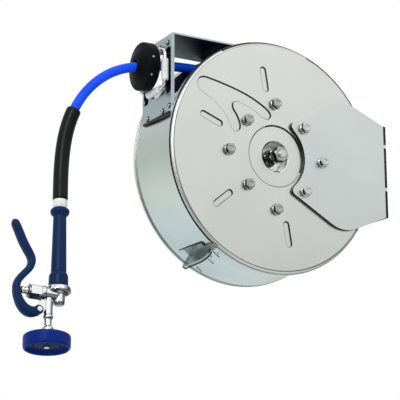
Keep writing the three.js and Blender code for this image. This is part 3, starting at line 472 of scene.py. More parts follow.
def united(name, builders, material, node, smooth=32, body="reel_frame", cuts=()):
    """One closed piece from several overlapping ones, less the cuts. Each builder fills a bmesh."""
    pieces = []
    for i, builder in enumerate([*builders, *cuts]):
        bm = bmesh.new()
        builder(bm)
        pieces.append(show(f"{name}_{i}", bm, material, body=None))
    base = pieces[0]
    for i, other in enumerate(pieces[1:], 1):
        modifier = base.modifiers.new("shape", "BOOLEAN")
        modifier.operation = "UNION" if i < len(builders) else "DIFFERENCE"
        modifier.solver = "EXACT"
        modifier.object = other
    bpy.context.view_layer.update()
    mesh = bpy.data.meshes.new_from_object(base.evaluated_get(bpy.context.evaluated_depsgraph_get()))
    bm = bmesh.new()
    bm.from_mesh(mesh)
    for piece in pieces:
        bpy.data.objects.remove(piece)
    bmesh.ops.remove_doubles(bm, verts=bm.verts, dist=1e-6)
    return show(name, bm, material, node, smooth, body)


def lathed(points, radius, steps, place, segments=ROUND, closed=False):
    """A builder for united: a turned shape with rounded corners."""
    profile = rounded(points, radius, steps, closed) if radius else points
    return lambda bm: turn(bm, profile, place, segments)


def slab(*shape):
    """A builder for united: a prism."""
    return lambda bm: prism(bm, *shape)


# ---------------------------------------------------------------- hose and what is on it

HOSE_ROUTE = [
    (-80, 60, 150.5), (-110, 60, 151), (-140, 60, 150.4), (-170, 60, 148.2), (-197, 60, 144.4),
    (-220, 60, 139.6), (-240, 60, 135), (-256, 60.2, 130.2), (-278.2, 60.7, 120), (-298.1, 61.5, 106.4),
    (-315.1, 62.8, 90.2), (-329.1, 64.3, 72.3), (-340, 65.9, 52.9), (-348.1, 67.4, 32.5),
    (-353.8, 68.7, 11.6), (-357.6, 69.4, -9.8), (-360.3, 68.7, -31.4), (-362.5, 66.6, -53.1),
    (-364.6, 62.9, -75), (-366.3, 58.9, -92.2)]
SLEEVE_START = 0.655  # a share of the hose's length
SLEEVE_END = 0.999
SLEEVE_R = 12
STOP = (-218.6, 60.0, 139.0)
STOP_R = 40.8
STOP_HALF = 9.2
STOP_BORE = 8.8
STOP_LEAN = math.radians(-2)


def running_lengths(line):
    total = [0.0]
    for a, b in zip(line, line[1:]):
        total.append(total[-1] + (b - a).length)
    return total


def part_of(line, start, end):
    """The stretch of a line between two shares of its length."""
    total = running_lengths(line)
    low, high = start * total[-1], end * total[-1]

    def at(goal):
        for i in range(1, len(line)):
            if total[i] >= goal:
                share = (goal - total[i - 1]) / (total[i] - total[i - 1])
                return line[i - 1].lerp(line[i], share)
        return line[-1].copy()

    inner = [p for p, s in zip(line, total) if low + 0.5 < s < high - 0.5]
    return [at(low), *inner, at(high)]


def make_hose():
    tool_end = REEL.inverted() @ TOOL @ Vector((0, 0, GAP))
    line = spline([*HOSE_ROUTE, tuple(tool_end)], 8)
    hose = tubed("hose_tube", line, HOSE_R, HOSE_BLUE, 40, node="hose")

    bm = bmesh.new()
    tube(bm, part_of(line, SLEEVE_START, SLEEVE_END), SLEEVE_R, REEL, 48, HOSE_R + 0.8, 0.8)
    guard = show("hose_guard_sleeve", bm, GUARD_RUBBER, "hose_guard")

    dome = [(STOP_BORE, 10.4), (14.5, 9.6), (22, 6.8), (30, 2.9), (36, 0.8), (STOP_R, 0)]
    profile = [(radius, -STOP_HALF - rise) for radius, rise in dome]
    profile = rounded([*profile, (STOP_R, STOP_HALF), (STOP_BORE, STOP_HALF)], 2.4, 4, True)
    for name, keep in (("upper", 1), ("lower", -1)):
        bm = bmesh.new()
        turn(bm, profile, REEL @ shift(*STOP) @ Matrix.Rotation(STOP_LEAN, 4, "Y") @ ALONG_X, 128)
        edge = REEL @ Vector((STOP[0], STOP[1], STOP[2] + keep * GAP / 2))
        bmesh.ops.recalc_face_normals(bm, faces=bm.faces)
        cut = bmesh.ops.bisect_plane(
            bm, geom=[*bm.verts, *bm.edges, *bm.faces], plane_co=edge, plane_no=(0, 0, -keep),
            clear_outer=True)
        rims = [e for e in cut["geom_cut"] if isinstance(e, bmesh.types.BMEdge)]
        bmesh.ops.holes_fill(bm, edges=rims, sides=0)
        show(f"hose_stop_{name}_half", bm, RUBBER, f"hose_stop_{name}")
    for y, z in ((19.5, 144.5), (26.5, 115.5)):
        toward = Vector((0, y - STOP[1], z - STOP[2])).normalized()
        place = REEL @ shift(*(Vector(STOP) + toward * (STOP_R - 0.4) + Vector((-4.5, 0, 0))))
        place = place @ toward.to_track_quat("Z", "X").to_matrix().to_4x4()
        profile = rounded([(0, -3), (2, -3), (2, 0.4), (1.1, 0.9), (0, 0.9)], 0.3)
        turned(f"hose_stop_screw_{z:.0f}", profile, place, DULL_STEEL, 24)

    ferrule = turned(
        "hose_ferrule_crimped",
        rounded([(0, 0), (11.4, 0), (11.4, -5.6), (11.0, -6.2), (11.0, -7.2), (11.4, -7.8), (11.4, -9.4),
                 (10.5, -11), (10.5, -13.2), (0, -13.2)], 0.4, 2),
        TOOL, FERRULE_WHITE, 64, node="hose_ferrule")


make_hose()

# ---------------------------------------------------------------- front cover

RIB = [
    (-151, 106), (-148, 114), (-140, 118), (-122, 116), (-98, 111), (-74, 105), (-51, 97.5),
    (-30, 87.6), (-14, 77.5), (-9.5, 70), (-14, 63), (-22, 63.5), (-41, 74), (-60, 82), (-74, 85.5),
    (-83, 82), (-84, 73.5), (-76, 61), (-70, 46), (-71.5, 37), (-79.5, 33), (-87, 40), (-94, 55),
    (-106.5, 69), (-122, 81.5), (-138, 90), (-147, 96)]
SLOT_ANGLES = (99, 159, 219, 279)
SLOT_MIDDLE_R = 134
SLOT_LENGTH = 43
SLOT_WIDTH = 10
RIM_ROLL = 5  # radius of the rolled edge
WALL_STEPS = ((1.3, 0.0), (0.6, 0.22), (-0.2, 1.45), (-0.9, PRESS_DEPTH))  # offset outwards, depth


def slot_loop(degrees, steps=9):
    along = math.radians(degrees)
    centre = Vector(polar(SLOT_MIDDLE_R, degrees))
    loop = []
    for end in (1, -1):
        middle = centre + end * (SLOT_LENGTH - SLOT_WIDTH) / 2 * Vector((math.cos(along), math.sin(along)))
        for k in range(steps + 1):
            angle = along - end * math.pi / 2 + math.pi * k / steps
            loop.append(middle + SLOT_WIDTH / 2 * Vector((math.cos(angle), math.sin(angle))))
    return loop


def grown(loop, distance):
    """A closed loop with each point moved outwards."""
    area = sum(a.x * b.y - b.x * a.y for a, b in zip(loop, loop[1:] + loop[:1]))
    side = 1 if area > 0 else -1
    out = []
    for before, point, after in zip(loop[-1:] + loop[:-1], loop, loop[1:] + loop[:1]):
        along = (after - before).normalized()
        out.append(point + side * distance * Vector((along.y, -along.x)))
    return out


def circle(radius, count):
    return [Vector(polar(radius, 360 * i / count)) for i in range(count)]


def make_cover():
    loops = []
    marks = [[p.to_2d() for p in spline(RIB, 5, True)]]
    marks += [slot_loop(a) for a in SLOT_ANGLES]
    for mark in marks:
        for offset, depth in WALL_STEPS:
            loops.append((grown(mark, offset), depth))
    flat_edge = COVER_R - RIM_ROLL
    rim_start = flat_edge + 1.1
    rim_side = flat_edge + 4.85
    count = 240
    loops.append((circle(flat_edge, count), 0.0))
    loops.append((circle(HUB_R + 1.6, count), 0.0))
    points, edges, depths = [], [], []
    for loop, depth in loops:
        start = len(points)
        points += loop
        depths += [depth] * len(loop)
        edges += [(start + i, start + (i + 1) % len(loop)) for i in range(len(loop))]
    verts, _, faces, origins, _, _ = geometry.delaunay_2d_cdt(points, edges, [], 0, 1e-4)
    bm = bmesh.new()
    made = []
    for place, origin in zip(verts, origins):
        depth = depths[origin[0]] if origin else 0.0
        made.append(bm.verts.new(REEL @ Vector((place.x, depth, place.y))))
    for face in faces:
        centre = sum((Vector(verts[i]) for i in face), Vector((0, 0))) / len(face)
        if centre.length > HUB_R + 1.5:
            bm.faces.new([made[i] for i in face])
    hub = [(HUB_R + 1.6, 0), (HUB_R + 0.8, 0.25), (HUB_R - 0.3, 1.6), (HUB_R - 1.1, PRESS_DEPTH)]
    dimple = [(CUP_R + 2.5, PRESS_DEPTH), (CUP_R + 0.9, PRESS_DEPTH + 0.4), (CUP_R + 0.2, PRESS_DEPTH + 1.6)]
    cup = [(CUP_R, 8), (CUP_R, 24.5), (CUP_R - 0.8, 26.3), (CUP_R - 2.6, 27), (7.5, 27)]
    rim = [(flat_edge, 0)] + [
        (flat_edge + RIM_ROLL * math.sin(math.radians(a)), RIM_ROLL - RIM_ROLL * math.cos(math.radians(a)))
        for a in (12, 26, 42, 60, 78, 90)] + [(COVER_R, 5.2)]
    for profile in ([*hub, *dimple, *cup], rim):
        loft(bm, [ring_of(r, y, count) for r, y in profile], REEL, caps=False)
    bmesh.ops.remove_doubles(bm, verts=bm.verts, dist=2e-6)
    piece = show("front_cover_pressed", bm, COVER_STEEL, "front_cover", 50)
    backwards = sum(p.normal.y for p in piece.data.polygons) > 0
    solid = piece.modifiers.new("sheet", "SOLIDIFY")
    solid.thickness = SHEET / 1000
    solid.offset = 1.0 if backwards else -1.0
    for polygon in piece.data.polygons:
        polygon.use_smooth = abs(polygon.normal.y) < 0.999
    sign = -1 if backwards else 1

    def wall_side(centre, normal):
        """Above 0 on pressed walls that face down and left, below 0 on the others, 0 off the walls."""
        if abs(normal.y) > 0.97 or not 0.02 < centre.y < PRESS_DEPTH - 0.02:
            return 0.0
        return -sign * facing(normal, 0.6, 0.8) or 1e-6

    # Painted shade: dark lines on the rim's outline, along its seam with the band and along its inner edge, on
    # part of the hub's ring and the cup's lip, and on the pressed walls that face down and left.
    def is_painted_shade(centre, normal):
        angle, radius = turned_by(centre)
        if radius > flat_edge:
            inner = flat_edge + (2.2 if 70 < angle < 180 else 0)
            outline = 26 < (angle + 60) % 360 < 182 and radius > inner
            seam = 100 < angle < 236 and radius > rim_side
            rim_inner_shade = 162 < angle < 222 and radius < rim_start
            return outline or seam or rim_inner_shade
        if radius < HUB_R + 2:
            arc = not 112 < angle < 335 and radius > HUB_R - 1.2 and centre.y < PRESS_DEPTH - 0.02
            lip = 115 < angle < 236 and CUP_R + 0.5 < radius < CUP_R + 2.4
            return arc or lip
        return wall_side(centre, normal) > 0.02

    # Painted shade, softer: grey lines on the rest of the rolled rim, the hub's ring, the cup's lip and the
    # other pressed walls.
    def is_painted_soft_shade(centre, normal):
        angle, radius = turned_by(centre)
        if radius > flat_edge:
            return not rim_start <= radius <= rim_side and not is_painted_shade(centre, normal)
        if radius < HUB_R + 2:
            ring = 140 < angle < 335 and radius > HUB_R - 1.2 and 0.02 < centre.y < PRESS_DEPTH - 0.02
            return ring or 40 < angle < 115 and CUP_R + 0.5 < radius < CUP_R + 2.4
        return wall_side(centre, normal) < 0

    # Painted highlight on the rolled rim, then the grey and dark lines of painted shade.
    paint(piece, RIM_HIGHLIGHT_STEEL, lambda centre, normal: turned_by(centre)[1] > rim_start)
    paint(piece, SHADE_LINE_GREY, is_painted_soft_shade)
    paint(piece, SHADE_LINE_DARK, is_painted_shade)
    # Painted light: a lighter steel on the cup's bottom, where its recess would be in shade.
    paint(piece, CUP_LIT_STEEL, lambda centre, normal: (
        centre.y > PRESS_DEPTH + 1 and turned_by(centre)[1] < CUP_R + 0.1))


make_cover()
# Painted shade: a short dark bar at the lower edge of the cup's lip.
bm = bmesh.new()
prism(bm, [(-4.4, -0.55), (8.8, -0.55), (8.8, 0.55), (-4.4, 0.55)], -0.5, 0.6,
      REEL @ shift(0, PRESS_DEPTH - 0.1, -CUP_R - 1.6) @ UPRIGHT)
show("cup_lip_shade_mark", bm, SHADE_LINE_DARK)

# ---------------------------------------------------------------- case band and rear cover

WINDOW_ANGLES = (116, 152)
WINDOW_Y = (24, 96)


def band_radius(y):
    """The band swells a little towards the rear cover."""
    return BAND_R + 4.6 * max(0.0, (y - 45) / (CASE_DEPTH - 50.3)) ** 1.5


def make_band():
    """The band is a turned sheet with a window, thickened inwards."""
    front = 5.5
    back = CASE_DEPTH - 5.3
    bead = [(BAND_R - 1.4, front - 0.1), (BEAD_R - 1.4, front), (BEAD_R - 0.3, front + 0.7),
            (BEAD_R, front + 2.2), (BEAD_R - 0.3, front + 3.7), (BEAD_R - 1.4, front + 4.4),
            (BAND_R + 0.3, front + 4.7), (BAND_R, front + 5.8)]
    levels = (13.5, WINDOW_Y[0], 45, 55, 65, 75, 85, WINDOW_Y[1], 105, 114, back)
    walls = [(band_radius(y), y) for y in levels]
    bm = bmesh.new()
    loft(bm, [ring_of(r, y, CASE_ROUND) for r, y in (*bead, *walls)], REEL, caps=False)
    inverse = REEL.inverted()
    gone = []
    for face in bm.faces:
        centre = inverse @ face.calc_center_median()
        if (WINDOW_ANGLES[0] < turned_by(centre)[0] < WINDOW_ANGLES[1]
                and WINDOW_Y[0] < centre.y < WINDOW_Y[1]):
            gone.append(face)
    bmesh.ops.delete(bm, geom=gone, context="FACES")
    piece = show("case_band_beaded", bm, BAND_STEEL, "case_band", 50)
    outward = piece.data.polygons[len(piece.data.polygons) // 2]
    centre = outward.center - Vector((-WALL_X / 1000, outward.center.y, 0))
    solid = piece.modifiers.new("sheet", "SOLIDIFY")
    solid.thickness = SHEET / 1000
    solid.offset = -1.0 if outward.normal.dot(centre) > 0 else 1.0
    # Painted highlight on the bead, then painted shade lines beside it.
    paint(piece, RIM_HIGHLIGHT_STEEL, lambda centre, normal: front + 0.3 < centre.y < front + 4.4)

    # Painted shade: dark lines at the bead's front and back, and the whole bead dark on the wall side.
    def in_shade_line(centre, normal):
        angle, _ = turned_by(centre)
        if angle < 110 or angle > 320:
            return centre.y < front + 4.4
        return 110 < angle < 236 and (centre.y < front + 0.5 or front + 4.6 < centre.y < front + 5.3)

    paint(piece, SHADE_LINE_DARK, in_shade_line)


make_band()

REAR_PROFILE = rounded([
    (17, CASE_DEPTH), (17, CASE_DEPTH - SHEET), (REAR_RIM_R - 3.5, CASE_DEPTH - SHEET),
    (REAR_RIM_R - SHEET, CASE_DEPTH - 3.5), (REAR_RIM_R - SHEET, CASE_DEPTH - 5),
    (REAR_RIM_R, CASE_DEPTH - 5), (REAR_RIM_R, CASE_DEPTH)], 1.6, 4, True)
turned("rear_cover_rolled", REAR_PROFILE, AXLE, COVER_STEEL, CASE_ROUND // 2, node="rear_cover", smooth=50)

# ---------------------------------------------------------------- plates, bracket, arm

LEG_FACE = (-0.837, 0.548)  # x and z of the way the bracket's leg faces
CLIP_SHADE = (0.809, -0.588)  # and of the clip's shaded side

# Painted shade: the plates' cut edges are dark, all but the top edge at the wall end.
for node in ("front_side_plate", "rear_side_plate"):
    paint(refined(node, PLATE_STEEL, 0.5), SHADE_LINE_DARK, lambda centre, normal: (
        abs(normal.y) < 0.75 and not (normal.z > 0.3 and centre.x > 56)))
# Painted shade: the wall plate's front strip near the wall, and its underside, are dark.
paint(refined("wall_plate", PLATE_STEEL), SHADE_LINE_DARK, lambda centre, normal: (
    abs(normal.y) > 0.5 and centre.x > WALL_X - 6 or normal.z < -0.5))
arm = refined("guide_arm", ARM_STEEL)
# Painted shade on the arm's underside and a painted shadow line along its lower edge.
paint(arm, ARM_SHADE, lambda centre, normal: normal.z < -0.6 and centre.z > 150)
paint(arm, SHADE_LINE_DARK, lambda centre, normal: normal.z < -0.3 and centre.z < 70)

# Painted shade and highlight: a dark outline round the bracket's foot, its leg and cut edges in shaded steel,
# and a lighter highlight on the lip's outer edge.
bracket = refined("rim_bracket", ARM_STEEL, 0.25)
for material, rule in (
        (SHADE_LINE_DARK, lambda centre, normal: abs(normal.y) > 0.5 and turned_by(centre)[1] < 203),
        (SHADED_STEEL, lambda centre, normal: facing(normal, *LEG_FACE) > 0.7),
        (SHADED_STEEL, lambda centre, normal: abs(normal.y) < 0.5 and turned_by(centre)[1] < 202),
        (RIM_HIGHLIGHT_STEEL, lambda centre, normal: facing(normal, *LEG_FACE) < 0.6 and turned_by(centre)[1] > 205)):
    paint(bracket, material, rule)
# Painted shade: the clip in shaded steel, with a dark line on its shaded side.
paint(refined("rim_clip", SHADED_STEEL, 0.8, 3), SHADE_LINE_DARK, lambda centre, normal: (
    facing(normal, *CLIP_SHADE) > 0.5))


def on_band(degrees, y, radius):
    if radius < BAND_R + 2:
        radius += band_radius(y) - BAND_R
    x, z = polar(radius, degrees)
    return Vector((x, y, z))


def make_band_marks():
    """Painted shadow: a dark strip under the bracket's leg, along its foot and clip; and short dark dashes and
    dots beside it.
    """
    strips = [
        [(-122.7, 31.5, 200), (-122.7, 30, 206), (-122.7, 32.6, 211.4), (-122.7, 39, 215.2),
         (-122.7, 51.5, 218.4), (-122.7, 76, 220.3), (-122.7, 97.5, 222.6), (-122.9, 111, 216)],
        [(-129.5, 33, 199), (-129.5, 60, 199), (-129.5, 104, 199)],
        [(-129.2, 32, 199.6), (-126, 31.6, 199.6), (-123.4, 31.6, 199.6)],
        [(-122, 30.5, 198.7), (-117.6, 33.8, 198.7)],
        [(-118.7, 62.6, 198.7), (-114.9, 66.5, 198.7)],
        [(-117.2, 109, 198.7), (-113.2, 114, 198.7)],
        [(-120.4, 23.4, 198.7), (-119.9, 24.6, 198.7)],
        [(-119.9, 48.6, 198.7), (-119.3, 50.4, 198.7)]]
    sizes = (1.5, 0.8, 1.1, 0.7, 0.55, 0.6, 0.8, 0.8)
    for i, (strip, size) in enumerate(zip(strips, sizes)):
        tubed(f"band_mark_{i}", [on_band(*point) for point in strip], size, SHADE_LINE_DARK, 10)


make_band_marks()

# ---------------------------------------------------------------- bolts and nuts

BOLT_MAIN = 91.8
BOLT_DIAGONAL = 78.3
BOLT_ANGLES = (0, 45, 90, 135, 180, 225, 270, 315)
PLATE_BOLTS = (0, 45, 315)
PLATE_THICK = 5
HEAD_SHADE = (-0.85, -0.4)  # x and z of the way that the head facets with painted dark reflections face


def bolt(name, degrees, seat, node, outward):
    """A flange-head bolt; outward is -1 at the front and 1 at the rear."""
    x, z = polar(BOLT_MAIN if degrees % 90 == 0 else BOLT_DIAGONAL, degrees)
    place = REEL @ shift(x, seat, z) @ ALONG_Y
    if outward < 0:
        place = place @ Matrix.Rotation(math.pi, 4, "X")
    washer = lathed([(0, -6), (4.9, -6), (4.9, 0), (10, 0), (10, 1), (8.6, 2.4), (0, 2.4)], 0.5, 3, place, 48)
    head = slab(hexagon(16, degrees * 1.7), 1.5, 7.9, place, 0.45)
    crown = lathed([(0, 7), (7.4, 7), (7.2, 8.1), (5.2, 8.35), (4.9, 8.0), (0, 8.0)], 0.3, 2, place, 48)
    piece = united(name, [washer, head, crown], ZINC if seat < -1 else BOLT_STEEL, node, 30)
    # Painted dark reflections on the head's side facets that face down and left.
    paint(piece, SHADE_LINE_DARK, lambda centre, normal: (
        abs(normal.y) < 0.3 and facing(normal, *HEAD_SHADE) > 0.55))


for angle in BOLT_ANGLES:
    on_plate = angle in PLATE_BOLTS
    seat = -PLATE_THICK - 2 * GAP if on_plate else -GAP
    bolt(f"bolt_front_{angle:03d}", angle, seat, f"front_bolt_{angle:03d}", -1)
    if on_plate:
        bolt(f"bolt_rear_{angle:03d}", angle, CASE_DEPTH - seat, f"rear_bolt_{angle:03d}", 1)


def threaded(radius, low, high, pitch):
    """The outline of a thread, as rings."""
    points = []
    y = low
    while y < high - pitch:
        points += [(radius, y + 0.1 * pitch), (radius - 0.45, y + 0.5 * pitch), (radius, y + 0.9 * pitch)]
        y += pitch
    return points


def make_arbor():
    profile = [(0, -23), (5.6, -23), (6.3, -22.2), *threaded(6.5, -21.6, 14.4, 1.25), (6.5, 15),
               (6.5, 31), (11, 31), (11, 66), (0, 66)]
    turned("spring_arbor_threaded", profile, AXLE, ZINC, 48, node="spring_arbor", smooth=20)


def nut(name, across, low, high, turn_by):
    """A hexagon nut whose corners are cut back to a cone at both ends."""
    flat = across / 2
    rings = []
    for height, share in ((low, 0.0), (low + 1.3, 1.0), (high - 1.3, 1.0), (high, 0.0)):
        limit = flat * 0.97 + (across / math.sqrt(3) - flat * 0.97) * share
        ring = []
        for degrees in (360 * k / ROUND for k in range(ROUND)):
            edge = flat / math.cos(math.radians((degrees - turn_by) % 60 - 30))
            ring.append((*polar(min(edge, limit), degrees), height))
        rings.append(ring)
    rings += [[(*polar(6.8, 360 * k / ROUND), height) for k in range(ROUND)] for height in (high, low)]
    bm = bmesh.new()
    loft(bm, rings, AXLE, closed=True)
    piece = show(name, bm, BOLT_STEEL, "arbor_" + name, 25)
    # Painted dark reflections on the nut's side facets that face down and left.
    paint(piece, SHADE_LINE_DARK, lambda centre, normal: (
        abs(normal.y) < 0.3 and facing(normal, *HEAD_SHADE) > 0.3))


make_arbor()
nut("clamp_nut", 25, 15, 26.7, 12)
nut("tension_nut", 24, -1, 9, 38)
nut("lock_nut", 24, -18, -7, 5)

# ---------------------------------------------------------------- rollers and their rods

ARM_X = -195.5
ROLLER_X = -201.5
ROLLER_R = 6.25
ROLLER_Y = (21, 99)
ROLLER_Z = (97, 163)
UPRIGHT_Z = (108, 144.5)
LEVEL_Y = (35.5, 79.5)
ROD_R = 3.3
ROD_CORNER_R = 13
ROD_BEND_R = 3.6  # where its ends turn into the arm
ROD_END_Y = 84.5


def make_rollers():
    bore = ROD_R + 0.35
    places = [(name, shift(ROLLER_X, y, 0), UPRIGHT_Z) for y, name in zip(ROLLER_Y, ("front", "back"))]
    places += [(name, shift(ROLLER_X, 0, z) @ ALONG_Y, LEVEL_Y)
               for z, name in zip(ROLLER_Z, ("bottom", "top"))]
    for name, place, (low, high) in places:
        profile = rounded([
            (bore, low), (ROLLER_R - 0.9, low), (ROLLER_R, low + 1), (ROLLER_R, high - 1),
            (ROLLER_R - 0.9, high), (bore, high)], 0.4, 2, True)
        turned(f"roller_{name}_sleeve", profile, REEL @ place, WHITE_PLASTIC, 48,
               node=f"guide_roller_{name}", body=f"roller_{name}")


def make_rods():
    y0, _ = ROLLER_Y
    low, high = ROLLER_Z
    inside = ARM_X + 7
    corners = [(inside, ROD_END_Y, low), (ROLLER_X, ROD_END_Y, low), (ROLLER_X, y0, low),
               (ROLLER_X, y0, high), (ROLLER_X, ROD_END_Y, high), (inside, ROD_END_Y, high)]
    line = [corners[0]]
    bends = (ROD_BEND_R, ROD_CORNER_R, ROD_CORNER_R, ROD_BEND_R)
    for before, corner, after, radius in zip(corners, corners[1:-1], corners[2:], bends):
        line += bend(before, corner, after, radius, 8)
    line.append(corners[-1])
    tubed("roller_rod_front", line, ROD_R, CHROME, node="roller_rod_bent", slot="zinc")
    refined("roller_rod_straight", ZINC, 0.3)


def make_arm_screws():
    """Screws on the end plate, each on a dark washer, with a black bar of painted shade for each slot."""
    places = ((22, 174), (50, 173), (104, 91), (16.5, 64), (93, 60.5), (39, 60))
    turn_by = (20, 65, 110, 40, 80, 10)
    for i, ((y, z), degrees) in enumerate(zip(places, turn_by)):
        place = REEL @ shift(ARM_X, y, z) @ ALONG_X @ Matrix.Rotation(math.pi, 4, "X")
        place = place @ Matrix.Rotation(math.radians(degrees), 4, "Z")
        washer = rounded([(0, 0), (5, 0), (5, 0.5), (3.4, 0.9), (0, 0.9)], 0.2)
        turned(f"arm_washer_{i}", washer, place, BLACK_STEEL, 32)
        head = rounded([(0, 0.8), (3.5, 0.8), (3.5, 1.9), (2.2, 2.9), (0, 3.1)], 0.4, 3)
        turned(f"arm_screw_{i}", head, place, ZINC, 32)
        # Painted shade: a black bar for the shade in the screw's slot.
        bm = bmesh.new()
        prism(bm, [(-3.1, -0.45), (3.1, -0.45), (3.1, 0.45), (-3.1, 0.45)], 2.2, 3.16, place)
        show(f"arm_screw_slot_shade_{i}", bm, BLACK_STEEL)


make_arm_screws()
# Painted shadow: a dark bar along the end plate's lower edge.
tubed("arm_lower_edge_shadow", [(ARM_X - 0.9, y, 52) for y in (16, 60, 104)], 2.5, SHADE_LINE_DARK, 12)
make_rollers()
make_rods()

# ---------------------------------------------------------------- spray tool

GRIP_TOP = -13.5
GRIP_END = -144.2
BOSS_X = 1.5
OUTLET_X = -15.6
BONNET_Z = -157.3
PIVOT = (-33, -186)
PIN_HOLE_R = 2.8
HEAD_X = -16.6
HOLE_R = 1.1
HOLE_RINGS = ((14, 10), (20.5, 16))  # the spray holes' radius and number
LEVER_HALF_WIDTH = 8.0
LEVER_SQUARENESS = 0.72  # 1 is an ellipse, less is squarer
LEVER_LINE = [  # x, z and half the thickness
    (-76.2, -45.2, 5.2), (-75.2, -47.6, 5.6), (-72.2, -53.7, 6), (-66.4, -65.8, 6.3), (-60.7, -78, 6.3),
    (-53.8, -89.8, 6.2), (-46.8, -101.3, 5.9), (-44.9, -107.8, 5.7), (-45.7, -114.4, 5.6),
    (-48.9, -121.5, 5.5), (-55, -128.9, 5.5), (-61.2, -136.4, 5.5), (-66, -143.6, 5.4),
    (-68.1, -150.3, 5.4), (-68.1, -156.6, 5.5), (-67.5, -162.9, 5.7), (-65.6, -168.9, 6.1),
    (-63, -174.9, 6.7), (-58.8, -181.4, 7.5), (-52.6, -187, 8.2), (-45, -189.6, 8.3),
    (-38.5, -188.6, 7.6), (-33, -186, 7)]


def make_grip():
    top, bottom = GRIP_TOP, GRIP_END
    profile = rounded([
        (0, top), (10.4, top), (14.1, top - 2), (15.3, top - 5.3), (14.4, top - 9.4), (10.3, top - 13.6),
        (10.3, top - 17), (11, top - 55), (11.9, top - 101), (12, top - 106), (11.5, top - 106.6),
        (11.5, top - 107.2), (12.6, top - 108), (14.8, top - 112.5), (15.2, bottom + 3), (14.1, bottom),
        (0, bottom)], 2.0, 5)

    def flutes(degrees, radius, height):
        if bottom + 0.6 < height < top - 110 and radius > 10:
            return -0.9 * max(0.0, math.cos(math.radians(5 * degrees))) ** 8
        return 0.0

    line = []
    for (r0, h0), (r1, h1) in zip(profile, profile[1:]):
        steps = max(1, int(abs(h1 - h0) / 5))
        line += [(r0 + (r1 - r0) * k / steps, h0 + (h1 - h0) * k / steps) for k in range(steps)]
    line.append(profile[-1])
    turned("hand_grip_moulded", line, TOOL, NAVY, 144, flutes, node="hand_grip", smooth=50)


def painted_chrome_reflections(piece):
    """Painted reflections: darker bands along the sides and undersides of plated pieces."""
    def side(normal):
        return 0.869 * normal.x - 0.495 * normal.y

    paint(piece, CHROME_REFLECTION_GREY, lambda centre, normal: (
        normal.z < -0.3 or abs(normal.z) < 0.45 and (side(normal) > 0.55 or -0.8 < side(normal) < -0.55)))
    paint(piece, CHROME_REFLECTION_DARK, lambda centre, normal: (
        -0.75 < normal.z < -0.42
        or abs(normal.z) < 0.45 and (side(normal) < -0.86 or 0.74 < side(normal) < 0.9)))


def make_valve():
    top = GRIP_END - GAP
    along = TOOL @ shift(0, 0, BONNET_Z) @ ALONG_X
    flange = lathed([
        (0, top), (17.6, top), (19.2, top - 1.4), (20, top - 6.5), (19.4, top - 8.8), (17.2, top - 9.6),
        (16.4, top - 8.2), (12, top - 8.2), (10.4, top - 11.5), (0, top - 11.5)], 0.9, 4, TOOL)
    boss = lathed(
        [(0, top - 6), (9.3, top - 6), (9.3, -169), (7.4, -173.2), (0, -174)],
        2, 5, TOOL @ shift(BOSS_X, 0, 0))
    barrel = lathed([  # its first three points are the plunger's bore
        (0, -17), (4.3, -17), (4.3, -24), (10, -24), (10, -4), (8, 0), (0, 0)], 1.2, 3, along)
    collar = lathed([
        (4.6, -29.5), (10.8, -29.5), (12.2, -28), (12.2, -24), (10.8, -22.5), (4.6, -22.5)],
        0.7, 3, along, closed=True)
    outlet = lathed([
        (0, -163.6), (6.8, -163.6), (6.8, -190), (6.3, -191), (7.7, -192.6), (7.7, -195.8), (5.7, -197.2),
        (5.7, -208), (8.3, -211), (8.9, -213), (8.9, -216.8), (6.5, -218.7), (0, -218.7)],
        0.9, 3, TOOL @ shift(OUTLET_X, 0, 0))
    outline = rounded([
        (PIVOT[0] - 5.5, PIVOT[1] - 5.5), (PIVOT[0] + 6, PIVOT[1] - 5.5), (OUTLET_X, -176),
        (OUTLET_X - 2, BONNET_Z - 6), (-28, BONNET_Z - 6), (-29, -172), (PIVOT[0] - 5.5, PIVOT[1] + 5)],
        4, 4, True)
    lug = slab(outline, -3.5, 3.5, TOOL @ UPRIGHT, 0.4)
    painted_chrome_reflections(united(
        "valve_body_plated", [flange, boss, barrel, collar, outlet, lug], CHROME, "valve_body"))
    seal = [(10.2, top - 8), (15.6, top - 8), (15.6, top - 8.7), (10.2, top - 8.7)]
    turned("flange_seal", seal, TOOL, BLACK_STEEL, 64)

    bonnet_hex = slab(hexagon(20.5), -47.4, -29.8, along, 0.8, 3)
    nose = lathed([(0, -49.4), (8.4, -49.4), (8.4, -45), (0, -45)], 0.8, 3, along)
    bonnet_bore = lathed([(0, -55), (6.3, -55), (6.3, -31), (0, -31)], 0, 0, along, 48)
    painted_chrome_reflections(united("valve_bonnet_hex", [bonnet_hex, nose], CHROME, "valve_bonnet", cuts=[bonnet_bore]))
    turned("valve_plunger_button", rounded([
        (0, -61.7), (4.6, -61.7), (6, -60.2), (6, -57), (5.2, -56.4), (5.2, -55.2), (6, -54.6), (6, -50.4),
        (3.7, -50.2), (3.7, -26), (0, -26)], 0.6, 3),
        along, CHROME, 48, node="valve_plunger", body="plunger")
    pin = TOOL @ shift(PIVOT[0], 0, PIVOT[1]) @ ALONG_Y
    turned("lever_pin_headed", rounded([
        (0, -10.6), (2.2, -10.6), (2.6, -9.9), (4, -10.2), (4, -8.4), (2.5, -8.4), (2.5, 8.4), (4, 8.4),
        (4, 10.2), (0, 10.2)], 0.5, 3),
        pin, CHROME, 32, node="lever_pin")


